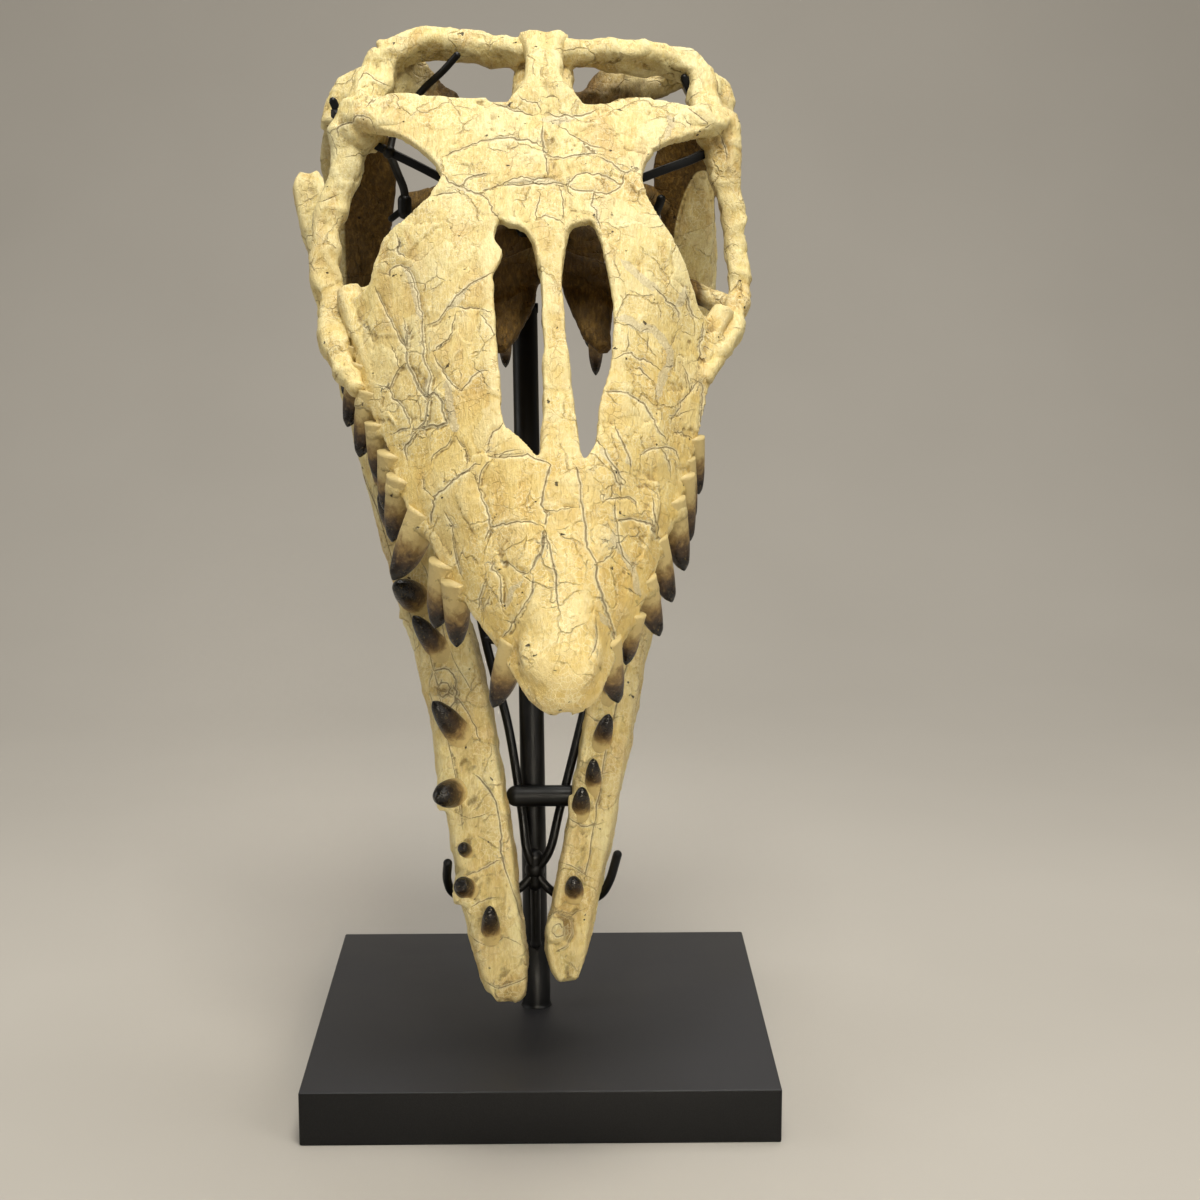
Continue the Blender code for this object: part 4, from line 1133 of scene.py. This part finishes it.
# The cranium. Snout, roof, brow and cheek bars are one knit fossil. The roof's plates were
# glued edge to edge: dark joins, ridges beside them and bands of grey matrix show where.
SNOUT_TIP = Vector((0.021, -0.380, 0.414))
ROOF_REAR = Vector((0.006, 0.064, 0.910))
ROOF_STATIONS = [  # s, half width to the left and right, depth of the side, height of the midline
    (6, 13, 13, 8, -12),
    (13, 24, 23, 14, -5),
    (27, 33, 31, 22, 3),
    (44, 40, 37, 34, 8),
    (60, 45, 43, 42, 10),
    (90, 63, 57, 46, 12),
    (120, 78, 68, 50, 13),
    (160, 96, 82, 54, 15),
    (200, 118, 96, 58, 16),
    (250, 131, 112, 62, 17),
    (300, 148, 123, 66, 18),
    (350, 162, 134, 70, 19),
    (395, 170, 148, 70, 20),
    (440, 174, 156, 56, 20),
    (490, 178, 166, 34, 19),
    (540, 186, 172, 22, 17),
    (600, 192, 176, 18, 12),
]
ROOF_OUTLINE = [  # s, t around the snout, the plates in front of the eyes and the frontal
    (-12, -40), (30, -60), (120, -110), (230, -170), (392, -200), (404, -178),
    (410, -152), (428, -145), (446, -138), (457, -123), (473, -103), (482, -98),
    (498, -91), (520, -101), (546, -126), (556, -142), (574, -152), (592, -146),
    (596, -126), (588, -88), (588, -56), (580, -40), (578, 40), (590, 62),
    (588, 88), (584, 118), (574, 136), (556, 134), (546, 116), (526, 88),
    (500, 77), (484, 79), (466, 84), (448, 94), (436, 102), (418, 111),
    (402, 117), (386, 124), (374, 148), (386, 190), (230, 160), (120, 110),
    (30, 60), (-12, 40),
]
LEFT_NARIS = [
    (446, -43), (438, -36), (433, -24), (420, -16), (400, -12), (386, -10), (330, -10),
    (250, -11), (206, -14), (216, -22), (228, -31), (240, -40), (275, -44), (330, -47),
    (372, -48), (386, -49), (400, -42), (412, -40), (424, -46),
]
RIGHT_NARIS = [
    (442, 33), (437, 20), (432, 13), (408, 10), (388, 8), (356, 8), (310, 10), (276, 11),
    (249, 14), (206, 18), (216, 26), (228, 30), (248, 32), (268, 35), (308, 45), (345, 48),
    (372, 47), (400, 43), (422, 39),
]
CRANIUM_BONES = {
    "snout_tip": [(14, 0, -12, 12, 8), (26, 0, -12, 25, 15), (46, -2, -14, 32, 20), (74, -2, -18, 34, 18)],
    "palate_floor": [
        (50, -2, -26, 34, 8), (110, -4, -24, 60, 8), (170, -5, -20, 80, 8), (205, -4, -12, 84, 7),
    ],
    "internarial_bar": [
        (196, 2, 8, 17, 8), (249, 1, 9, 13, 9), (310, 0, 10, 10, 9), (356, -1, 11, 9, 9),
        (392, -2, 11, 10, 9), (414, -2, 12, 13, 8), (438, -2, 12, 19, 7),
    ],
    "vomer": [(120, 0, -34, 9, 6), (260, 0, -40, 7, 8), (400, -1, -44, 7, 9), (470, -1, -40, 10, 10)],
    "left_rim": [
        (56, -30, -34, 8, 9), (110, -58, -40, 10, 11), (200, -99, -44, 10, 12), (300, -131, -50, 10, 12),
        (392, -160, -52, 11, 13), (424, -168, -52, 10, 12),
    ],
    "right_rim": [
        (56, 28, -34, 8, 9), (110, 49, -40, 10, 11), (200, 79, -44, 10, 12), (300, 107, -50, 10, 12),
        (374, 132, -50, 10, 12), (400, 144, -48, 9, 11),
    ],
    "parietal": [
        (562, -2, 10, 40, 5), (584, -2, 10, 30, 8), (604, -2, 8, 18, 12), (640, -2, 8, 17, 12),
        (662, -2, 2, 24, 13),
    ],
    "braincase": [
        (545, -2, -26, 26, 30), (600, -2, -34, 28, 36), (650, -2, -44, 26, 34), (672, -2, -56, 15, 16),
    ],
    "left_arch": [
        (650, -4, 0, 11, 13), (656, -26, -7, 10, 14), (667, -55, -12, 10, 15), (673, -81, -15, 10, 16),
        (676, -106, -16, 12, 16), (668, -125, -18, 11, 15), (662, -142, -20, 14, 14),
    ],
    "right_arch": [
        (650, 0, 0, 12, 13), (656, 39, -7, 10, 14), (658, 74, -12, 10, 15), (658, 108, -16, 10, 16),
        (652, 127, -19, 12, 15), (638, 138, -22, 13, 14),
    ],
    "left_temporal_bar": [
        (662, -141, -20, 13, 14), (647, -147, -23, 16, 15), (625, -151, -24, 18, 16),
        (604, -154, -24, 19, 16), (581, -158, -24, 19, 15), (584, -172, -26, 16, 13),
        (566, -173, -32, 14, 11),
    ],
    "right_temporal_bar": [
        (647, 136, -21, 12, 14), (627, 138, -23, 13, 14), (603, 139, -23, 13, 14),
        (576, 143, -22, 15, 14), (580, 150, -22, 16, 13), (562, 151, -28, 14, 11),
    ],
    "left_jugal": [
        (588, -172, -28, 14, 12), (560, -173, -36, 15, 11), (530, -179, -46, 13, 10),
        (498, -189, -56, 12, 9), (460, -189, -66, 12, 10), (430, -184, -70, 13, 12),
        (400, -178, -68, 14, 12), (372, -177, -58, 13, 10), (350, -172, -53, 10, 9), (318, -158, -48, 5, 6),
    ],
    "right_jugal": [
        (586, 151, -24, 14, 11), (560, 152, -30, 16, 11), (534, 156, -42, 13, 9), (500, 160, -54, 9, 8),
        (466, 162, -62, 9, 8), (434, 161, -66, 9, 8), (410, 155, -64, 10, 9), (384, 147, -56, 11, 10),
        (356, 134, -50, 9, 8), (326, 122, -48, 5, 6),
    ],
    "left_postorbital": [
        (562, -112, 3, 15, 6), (574, -138, -1, 17, 9), (588, -160, -12, 15, 11), (598, -174, -24, 12, 12),
    ],
    "right_postorbital": [
        (560, 104, 3, 15, 6), (570, 128, -1, 16, 9), (580, 144, -10, 15, 11), (590, 152, -22, 12, 12),
    ],
    "left_squamosal_knob": [(650, -152, -40, 18, 16), (640, -176, -52, 18, 16), (616, -186, -60, 12, 14)],
    "right_squamosal_knob": [(650, 134, -36, 15, 14), (650, 152, -52, 16, 15), (628, 158, -60, 10, 12)],
    "left_strut": [
        (664, -148, -34, 14, 10), (664, -128, -40, 26, 8), (652, -102, -60, 22, 8), (636, -64, -80, 15, 9),
        (628, -16, -78, 14, 14),
    ],
    "right_strut": [
        (668, 132, -34, 14, 10), (672, 104, -44, 26, 8), (662, 66, -56, 24, 9), (646, 36, -64, 16, 10),
        (640, 10, -60, 14, 14),
    ],
    "left_pterygoid": [
        (372, -42, -64, 5, 6), (400, -36, -68, 13, 7), (450, -30, -70, 20, 8), (500, -30, -72, 19, 9),
        (548, -40, -80, 15, 9), (574, -66, -94, 13, 9), (584, -96, -110, 12, 9), (584, -124, -122, 11, 8),
    ],
    "right_pterygoid": [
        (372, 44, -64, 5, 6), (400, 38, -68, 14, 7), (450, 30, -70, 20, 8), (500, 28, -72, 19, 9),
        (548, 36, -80, 15, 9), (574, 58, -94, 13, 9), (584, 86, -110, 12, 9), (584, 112, -122, 11, 8),
    ],
    "left_palatine": [
        (378, -158, -54, 8, 7), (406, -110, -60, 14, 7), (438, -60, -66, 18, 8), (462, -6, -58, 16, 9),
    ],
    "right_palatine": [
        (376, 138, -52, 8, 7), (408, 98, -58, 14, 7), (440, 56, -66, 18, 8), (462, 2, -58, 16, 9),
    ],
    "left_ectopterygoid": [
        (428, -178, -72, 8, 9), (452, -134, -78, 8, 7), (478, -84, -76, 9, 7), (504, -40, -76, 9, 8),
    ],
    "right_ectopterygoid": [
        (420, 154, -68, 8, 9), (450, 116, -76, 8, 7), (480, 74, -76, 9, 7), (504, 34, -76, 9, 8),
    ],
    "basicranial_link": [(572, -58, -90, 8, 8), (592, -2, -74, 12, 14), (572, 52, -90, 8, 8)],
}
TEETH_ON_MARGIN = [  # base (s, t, w), tip (s, t, w), radius
    ((362, -164, -62), (330, -172, -84), 9),
    ((340, -158, -60), (303, -171, -92), 11),
    ((310, -149, -58), (272, -160, -92), 11),
    ((280, -142, -56), (250, -143, -88), 9),
    ((248, -130, -54), (218, -136, -90), 11),
    ((222, -122, -52), (190, -132, -92), 12),
    ((186, -108, -50), (150, -134, -86), 13),
    ((140, -88, -48), (107, -97, -88), 12),
    ((122, -78, -46), (90, -79, -88), 11),
    ((62, -38, -36), (30, -55, -75), 11),
    ((262, 112, -54), (232, 117, -88), 8),
    ((240, 104, -54), (208, 112, -90), 8),
    ((222, 101, -52), (188, 108, -92), 9),
    ((196, 90, -50), (158, 103, -90), 12),
    ((160, 76, -48), (128, 92, -86), 11),
    ((124, 66, -46), (96, 80, -82), 10),
    ((92, 54, -42), (66, 48, -72), 8),
    ((64, 34, -36), (38, 45, -84), 11),
    ((396, 38, -70), (372, 38, -98), 7),
    ((424, 32, -74), (402, 33, -98), 6),
    ((396, -38, -70), (376, -38, -92), 6),
    ((424, -32, -74), (404, -33, -96), 6),
]
MARGIN_TEETH = TEETH_ON_MARGIN[:18]
PALATE_TEETH = TEETH_ON_MARGIN[18:]
TOOTH_COLLAR = [(-1.0, 0.4), (-0.2, 1.0), (0.35, 0.6)]  # place down the root and thickness, as shares
COLLAR_REACH = 8
COLLAR_THICKNESS = 0.7
ROOF_WALL = 8
ROOF_SIDES = 65
ROOF_STEP = 5
ROOF_FOOT = 6
ROOF_VOXEL = 0.0020
ROOF_RELIEF = (3.4, 1.4, 1.6, 0.9)
REAR_VOXEL = 0.0020
REAR_RELIEF = (5.0, 2.0, 3.0, 5.0)
PALATE_VOXEL = 0.0024
PALATE_RELIEF = (5.0, 1.5, 2.0, 2.0)
CRANIUM_SQUARENESS = 3.0
PRISM_LOW = -160
PRISM_HIGH = 60
FACE_DEPTH = 12  # how far under the roof's height its skin still takes the traced lines
# Painted shade under the roof, in the mouth and round the roots of the upper teeth.
UNDER_FROM = 13
UNDER_FADE = 10
LOOKS_DOWN = 0.75
ROOT_SHADE = 0.5
# Painted shade deep in the mouth, away from the cheeks.
DEEP_FROM = 32
DEEP_FADE = 26
CHEEK_FROM = 140
CHEEK_FADE = 18
SWELL_DEPTH = 7
SWELL_FADE = 4
SNOUT_STRETCH = (20, 235, 40, 50)  # start, end, way in and way out along the skull
CHEEK_STRETCH = (200, 430, 50, 50)
BROW_STRETCH = (450, 900, 30, 50)
ROOF_FORMS = [  # stretch, sides, place from the midline and its change along the skull, height, width
    (SNOUT_STRETCH, np.positive, 1, 0, 2.6, 16),
    (SNOUT_STRETCH, np.abs, 26, 0.16, -2.6, 13),
    (CHEEK_STRETCH, np.abs, 68, 0.12, -2.4, 20),
    (CHEEK_STRETCH, np.abs, 52, 0, 1.6, 7),
    (BROW_STRETCH, np.abs, 0, 0, -1.8, 7),
    (BROW_STRETCH, np.abs, 62, 0, -2.0, 22),
]
ROOF_LINES = {  # traced in photograph pixels, region by region, with half widths in millimetres
    "brow": [
        ([(445, 156), (459, 150), (477, 143), (489, 140), (509, 138), (518, 140), (530, 141),
          (542, 147)], 0.7),
        ([(493, 103), (503, 107), (518, 112), (531, 115), (536, 115)], 0.6),
        ([(546, 112), (555, 116), (566, 116), (578, 116), (586, 115), (596, 110)], 0.7),
        ([(543, 124), (543, 138), (543, 149), (545, 157), (547, 166), (547, 177)], 0.9),
        ([(559, 126), (571, 134), (580, 140), (588, 149), (594, 153), (578, 154), (558, 158),
          (547, 155)], 0.6),
        ([(577, 138), (587, 144), (605, 149)], 0.5),
        ([(597, 156), (610, 163), (624, 172), (635, 172)], 0.6),
        ([(567, 186), (571, 181), (578, 174), (591, 174), (606, 177), (621, 184)], 0.6),
        ([(566, 186), (583, 191), (593, 191), (606, 194), (616, 190), (622, 184), (624, 175)], 0.6),
        ([(480, 193), (493, 187), (503, 184), (512, 179), (521, 177), (530, 179), (547, 178)], 0.6),
        ([(503, 186), (524, 185), (536, 184), (547, 184), (556, 183), (566, 186)], 0.6),
        ([(442, 174), (450, 182), (461, 187), (468, 179), (478, 175), (490, 174)], 0.7),
        ([(461, 187), (468, 191), (478, 194), (487, 200), (492, 210), (497, 218), (500, 222)], 0.7),
        ([(480, 193), (489, 190), (496, 187)], 0.5),
        ([(433, 196), (445, 194), (458, 193)], 0.6),
        ([(593, 193), (594, 198), (591, 206), (596, 210), (597, 219), (600, 226)], 0.7),
        ([(537, 218), (547, 217), (559, 220), (563, 223)], 0.5),
        ([(540, 193), (539, 201), (537, 210), (536, 219)], 0.4),
        ([(559, 188), (562, 197), (563, 207), (564, 218)], 0.4),
        ([(519, 96), (527, 102), (536, 103), (540, 108), (541, 113)], 0.6),
        ([(543, 97), (553, 96), (559, 100)], 0.5),
    ],
    "left_plate": [
        ([(397, 235), (399, 244), (398, 251), (407, 258)], 0.9),
        ([(381, 273), (388, 274), (394, 267), (404, 266), (408, 271), (414, 282), (417, 294), (419, 306),
          (423, 320)], 0.6),
        ([(492, 273), (480, 279), (466, 288), (457, 297), (448, 308), (439, 320), (426, 325)], 0.6),
        ([(454, 306), (466, 308), (483, 310), (491, 313)], 0.6),
        ([(456, 313), (453, 325), (451, 336), (437, 348), (433, 352)], 0.6),
        ([(480, 313), (485, 320), (491, 329), (495, 336)], 0.5),
        ([(375, 287), (382, 303), (390, 320), (397, 334), (405, 346), (407, 352)], 0.7),
        ([(404, 319), (405, 329), (407, 340), (407, 352), (407, 362), (414, 380), (425, 397),
          (428, 401)], 1.1),
        ([(413, 328), (408, 340), (407, 352)], 0.5),
        ([(405, 363), (397, 372), (391, 385), (390, 391)], 0.6),
        ([(378, 385), (390, 391), (394, 400), (400, 404), (407, 418), (411, 427)], 0.7),
        ([(390, 343), (396, 357), (399, 371)], 0.5),
        ([(423, 320), (422, 340), (423, 346), (425, 365), (431, 375), (428, 386), (428, 401), (425, 421),
          (417, 429)], 0.9),
        ([(433, 354), (439, 365), (442, 369), (449, 381), (456, 388), (463, 390), (475, 375),
          (488, 371)], 0.6),
        ([(428, 400), (433, 394), (439, 397), (443, 411), (446, 423), (433, 426), (416, 429),
          (411, 430)], 0.9),
        ([(411, 427), (400, 430), (393, 434)], 0.6),
        ([(416, 430), (411, 440), (405, 447), (407, 460)], 0.7),
        ([(456, 435), (463, 447), (466, 460), (467, 466)], 0.6),
        ([(454, 435), (445, 446), (433, 456), (431, 464)], 0.6),
        ([(488, 456), (488, 444), (492, 434), (503, 423)], 0.6),
        ([(488, 456), (503, 453), (520, 450)], 0.5),
    ],
    "snout": [
        ([(431, 526), (433, 506), (435, 497), (446, 488), (456, 479), (469, 469), (481, 463)], 0.7),
        ([(421, 474), (424, 488), (433, 497)], 0.6),
        ([(464, 444), (467, 456), (467, 467)], 0.5),
        ([(489, 444), (487, 452), (490, 458), (510, 457), (524, 455), (539, 460), (549, 463)], 0.7),
        ([(492, 460), (483, 469), (479, 483), (481, 497), (487, 508), (489, 522), (485, 540)], 0.7),
        ([(471, 472), (479, 486)], 0.4),
        ([(489, 529), (496, 526), (510, 523), (524, 522), (535, 524), (543, 527)], 0.6),
        ([(551, 465), (546, 479), (543, 494), (542, 506), (546, 515), (545, 527), (543, 540), (542, 551),
          (535, 563), (530, 572)], 1.0),
        ([(544, 529), (549, 545), (553, 561), (555, 576), (556, 592), (558, 606)], 0.7),
        ([(543, 508), (549, 511), (562, 510), (576, 508)], 0.5),
        ([(576, 467), (580, 481), (582, 501), (584, 519), (586, 536), (589, 551), (596, 565), (597, 581),
          (602, 595), (605, 608), (610, 620), (613, 629), (614, 640), (621, 654)], 1.0),
        ([(596, 565), (606, 560), (613, 552)], 0.6),
        ([(494, 561), (492, 569), (499, 576), (501, 594), (503, 608)], 0.9),
        ([(505, 561), (517, 570), (524, 573), (530, 572)], 0.6),
        ([(533, 576), (531, 592), (524, 606), (519, 613), (514, 622), (506, 633), (503, 638)], 0.8),
        ([(503, 620), (512, 622), (517, 615)], 0.5),
        ([(444, 511), (451, 526), (453, 544), (458, 565), (464, 579)], 0.5),
        ([(487, 579), (481, 594), (478, 610)], 0.6),
        ([(490, 597), (485, 608)], 0.9),
        ([(615, 502), (617, 524), (621, 551), (633, 569)], 0.6),
        ([(622, 440), (631, 460)], 0.5),
        ([(603, 447), (610, 461), (621, 476), (626, 483)], 0.6),
        ([(610, 467), (619, 485), (621, 495)], 0.5),
    ],
    "right_plate": [
        ([(655, 288), (668, 301), (678, 311), (679, 321)], 0.7),
        ([(686, 293), (689, 306), (693, 316), (699, 319)], 0.7),
        ([(613, 359), (628, 353), (638, 358), (650, 363), (661, 371)], 0.5),
        ([(628, 334), (628, 346), (626, 351)], 0.4),
        ([(648, 336), (647, 351)], 0.4),
        ([(635, 368), (643, 372), (653, 381)], 0.5),
        ([(605, 391), (621, 392), (633, 397), (645, 407), (653, 417), (658, 429), (666, 439)], 0.7),
        ([(699, 382), (691, 391), (683, 401), (678, 411), (673, 417), (671, 421)], 0.6),
        ([(674, 416), (684, 413), (689, 411)], 0.5),
        ([(673, 434), (679, 432), (688, 436), (693, 440)], 0.5),
        ([(615, 426), (621, 439), (626, 449), (630, 459), (631, 467)], 0.7),
        ([(661, 449), (666, 455), (670, 469), (671, 475)], 0.6),
        ([(640, 459), (645, 452), (663, 447), (674, 450), (679, 459)], 0.6),
        ([(703, 323), (703, 336), (699, 351), (703, 361)], 0.6),
        ([(694, 361), (703, 359), (708, 368), (713, 364)], 0.6),
        ([(693, 379), (701, 384), (703, 399), (701, 419), (699, 440)], 0.6),
        ([(676, 334), (671, 346)], 0.4),
        ([(683, 366), (688, 379), (690, 392)], 0.5),
        ([(596, 440), (601, 445)], 1.4),
        ([(706, 347), (709, 349)], 1.2),
    ],
    "lower_right": [
        ([(603, 503), (616, 498), (626, 497), (634, 500), (637, 508)], 0.6),
        ([(616, 521), (631, 519), (639, 521), (650, 524), (653, 530), (656, 536), (658, 539)], 0.8),
        ([(624, 587), (631, 591), (639, 596)], 0.5),
        ([(636, 606), (644, 600)], 0.8),
        ([(653, 498), (654, 513), (658, 529), (657, 538)], 0.6),
        ([(611, 627), (615, 640), (618, 651), (621, 661)], 0.7),
        ([(596, 619), (597, 643), (591, 656)], 0.6),
    ],
    "rear": [
        ([(366, 107), (373, 101), (383, 98), (398, 96)], 0.7),
        ([(358, 82), (366, 73), (374, 79), (389, 86)], 0.6),
        ([(373, 86), (372, 94)], 0.5),
        ([(338, 136), (338, 127), (351, 123), (358, 116), (369, 118), (374, 127)], 0.7),
        ([(319, 202), (335, 196)], 0.7),
        ([(665, 107), (673, 115), (673, 125), (668, 135), (663, 143), (666, 147)], 0.8),
        ([(669, 107), (682, 105), (695, 114), (711, 125)], 0.6),
        ([(685, 118), (692, 127), (705, 128), (712, 124)], 0.6),
        ([(719, 134), (725, 148), (727, 161)], 0.6),
        ([(467, 105), (477, 99), (486, 101), (494, 104)], 0.5),
    ],
}
PITS = [  # black pits: photograph pixel and radius in millimetres
    (606, 541, 2.0), (612, 548, 1.8), (504, 563, 1.8), (492, 563, 1.8), (451, 526, 1.2), (603, 494, 1.4),
    (635, 564, 1.6), (634, 573, 1.2), (658, 539, 2.2), (622, 485, 1.4), (366, 328, 1.9), (637, 169, 2.2),
]
MATRIX_BANDS = [  # grey matrix between plates, with half widths in millimetres
    ([(540, 119), (558, 120), (575, 118)], 2.2),
    ([(505, 185), (523, 181), (545, 181), (560, 184)], 2.2),
    ([(458, 187), (474, 193)], 1.8),
    ([(593, 203), (597, 215), (598, 224)], 2.0),
    ([(406, 270), (412, 283), (416, 297), (419, 310), (423, 322)], 2.4),
    ([(466, 291), (457, 300), (448, 310)], 2.6),
    ([(430, 374), (428, 385), (427, 398)], 2.4),
    ([(448, 377), (449, 398), (453, 414), (454, 434)], 3.6),
    ([(621, 260), (630, 268), (641, 278), (651, 286), (660, 291)], 2.6),
    ([(686, 286), (683, 298), (678, 305), (674, 306)], 2.6),
    ([(615, 318), (628, 319), (638, 326), (651, 329), (660, 336), (666, 344), (669, 353), (670, 363),
      (665, 374), (660, 386), (658, 399)], 2.8),
    ([(628, 455), (631, 467)], 2.4),
    ([(600, 447), (606, 455), (613, 465)], 1.9),
    ([(613, 529), (616, 543), (624, 556), (634, 572), (637, 587), (640, 597)], 2.0),
    ([(622, 554), (630, 565)], 2.4),
    ([(599, 613), (610, 627)], 2.2),
    ([(665, 113), (671, 125), (664, 140)], 2.4),
    ([(506, 610), (512, 590), (524, 580)], 1.8),
]
ROOF_GROUP = ("snout_tip", "palate_floor", "internarial_bar", "vomer", "left_rim", "right_rim", "parietal")
PALATE_GROUP = ("pterygoid", "palatine", "ectopterygoid", "basicranial")
SKULL = bone_frame(SNOUT_TIP, ROOF_REAR)
SKULL_BONE = fossil_bone("fossil_skull_bone", gold=0.42)


def roof_row(s):
    table = np.array(ROOF_STATIONS, float)
    return [np.interp(s, table[:, 0], table[:, k]) for k in range(1, 5)]


def roof_height(s, t, inset=0.0):
    """Height of the roof's outer face, or of one that lies inset millimetres inside it."""
    left, right, depth, crown = roof_row(s)
    reach = np.maximum(np.where(t < 0, left, right) - inset, 1.0)
    return crown - inset - depth * np.minimum(np.abs(t) / reach, 1.0) ** 2.6


def prism(name, outline, low=PRISM_LOW, high=PRISM_HIGH):
    """An upright block of the skull frame over an outline of (s, t)."""
    bm = bmesh.new()
    loop = smooth_path([*outline, outline[0]], 3)[:-1]
    face = bm.faces.new([bm.verts.new(SKULL @ Vector((t, s, low))) for s, t in loop])
    raised = bmesh.ops.extrude_face_region(bm, geom=[face])["geom"]
    tops = [item for item in raised if isinstance(item, bmesh.types.BMVert)]
    shift = SKULL @ Vector((0, 0, high)) - SKULL @ Vector((0, 0, low))
    bmesh.ops.translate(bm, verts=tops, vec=shift)
    bmesh.ops.recalc_face_normals(bm, faces=bm.faces)
    return object_of(name, bm)


def roof_core():
    """The roof as an arch with a flat foot along each side, cut to its outline and its nostrils."""
    bm = bmesh.new()
    rings = []
    for s in np.arange(ROOF_STATIONS[0][0], ROOF_STATIONS[-1][0] + ROOF_STEP, ROOF_STEP):
        left, right, depth, crown = roof_row(s)
        shares = np.sin(np.linspace(-1, 1, ROOF_SIDES) * math.pi / 2)
        outer = [(-left if u < 0 else right) * abs(u) for u in shares]
        inner = [t * (1 - ROOF_WALL / max(left, right, 12)) for t in reversed(outer)]
        foot = crown - depth - ROOF_FOOT
        ring = [(t, s, float(roof_height(s, t))) for t in outer]
        ring += [(t, s, max(float(roof_height(s, t, ROOF_WALL)), foot)) for t in inner]
        rings.append([bm.verts.new(SKULL @ Vector(spot)) for spot in ring])
    for first, second in zip(rings, rings[1:]):
        for k, _ in enumerate(first):
            following = (k + 1) % len(first)
            bm.faces.new((first[k], second[k], second[following], first[following]))
    bm.faces.new(rings[0])
    bm.faces.new(reversed(rings[-1]))
    bmesh.ops.recalc_face_normals(bm, faces=bm.faces)
    slab = object_of("roof_slab", bm)
    cutters = []
    for name, outline, operation in (
        ("roof_outline", ROOF_OUTLINE, "INTERSECT"),
        ("left_naris", LEFT_NARIS, "DIFFERENCE"),
        ("right_naris", RIGHT_NARIS, "DIFFERENCE"),
    ):
        cutters.append(prism(name, outline))
        cut = slab.modifiers.new(name, "BOOLEAN")
        cut.operation = operation
        cut.object = cutters[-1]
    slab = plain_mesh(slab, "roof_slab")
    bm = bmesh.new()
    bm.from_mesh(slab.data)
    for spent in (*cutters, slab):
        bpy.data.objects.remove(spent, do_unlink=True)
    return bm


def on_roof(points):
    t, s, w = in_frame(SKULL, points)
    return w > roof_height(s, t) - FACE_DEPTH


def roof_painted_shade(points, normals):
    """1 for skin that lies well under the roof or looks down into the mouth, which painted shade makes dark
    brown.
    """
    t, s, w = in_frame(SKULL, points)
    under = roof_height(s, t) - w
    down = -(normals @ np.array(SKULL.to_3x3().col[2]) / MILLIMETRE)
    dark = np.clip((under - UNDER_FROM) / UNDER_FADE, 0, 1) * np.clip(down + LOOKS_DOWN, 0, 1)
    return np.maximum(dark, ROOT_SHADE * painted_socket_shade(points, SKULL, MARGIN_TEETH))


def deep_painted_shade(points, normals):
    """Painted shade: 1 for bone that lies deep in the mouth and away from the cheeks."""
    t, _, w = in_frame(SKULL, points)
    deep = np.clip((-w - DEEP_FROM) / DEEP_FADE, 0, 1)
    return deep * np.clip((CHEEK_FROM - np.abs(t)) / CHEEK_FADE, 0, 1)


def roof_swell(points):
    """Large soft forms of the roof in millimetres: the snout's keel, the hollows beside it, the brow."""
    t, s, w = in_frame(SKULL, points)
    forms = 0
    for (start, end, rise, fall), sides, place, change, height, width in ROOF_FORMS:
        along = np.clip((s - start) / rise, 0, 1) * np.clip((end - s) / fall, 0, 1)
        forms = forms + ridge(sides(t) - place - change * s, height, width) * along
    return forms * np.clip((w - roof_height(s, t) + SWELL_DEPTH) / SWELL_FADE, 0, 1)


def tooth_collars(bm, teeth):
    """A lip of bone round the root of each tooth, which makes the margin uneven."""
    for base, tip, radius in teeth:
        down = np.subtract(tip, base) / np.linalg.norm(np.subtract(tip, base))
        rows = [
            (*(base + down * COLLAR_REACH * place), *[radius + COLLAR_THICKNESS * thick] * 2)
            for place, thick in TOOTH_COLLAR
        ]
        loft(bm, SKULL, rows, up=TOOTH_ROLL, sides=16, steps=4, squareness=2.0)


def cranium_piece(name, bm, bones, voxel, relief, **marks):
    for stations in bones:
        loft(bm, SKULL, stations, squareness=CRANIUM_SQUARENESS)
    bone_skin(name, "cranium", bm, voxel, relief, SKULL_BONE, **marks)


roof_lines = [line for region, lines in ROOF_LINES.items() if region != "rear" for line in lines]
roof_lines += [([(x - 1.2, y - 0.5), (x, y), (x + 1.2, y + 0.5)], radius) for x, y, radius in PITS]
groups = {"roof": [], "palate": [], "rear": []}
for key, stations in CRANIUM_BONES.items():
    palate = key.endswith(PALATE_GROUP) or "basicranial" in key
    groups["roof" if key in ROOF_GROUP else "palate" if palate else "rear"].append(stations)
roof = roof_core()
tooth_collars(roof, MARGIN_TEETH)
cranium_piece(
    "skull_roof_and_snout", roof, groups["roof"], ROOF_VOXEL, ROOF_RELIEF,
    lines=roof_lines, bands=MATRIX_BANDS, on_face=on_roof, inner=roof_painted_shade, swell=roof_swell,
)
cranium_piece(
    "skull_rear_and_cheeks", bmesh.new(), groups["rear"], REAR_VOXEL, REAR_RELIEF,
    lines=ROOF_LINES["rear"], bands=MATRIX_BANDS, inner=deep_painted_shade,
)
cranium_piece(
    "skull_palate", bmesh.new(), groups["palate"], PALATE_VOXEL, PALATE_RELIEF, inner=deep_painted_shade
)

# The upper teeth. Enamel over dentine, a little worn at the tips. They are set in sockets along
# the margins of the snout, and four small ones stand on the bones of the palate.
tooth_row("upper_teeth", SKULL, MARGIN_TEETH, -5, "cranium", TOOTH_ENAMEL, stout=1.02, worn=0.8)
tooth_row("palate_teeth", SKULL, PALATE_TEETH, -5, "cranium", TOOTH_ENAMEL, sunk=0.05)
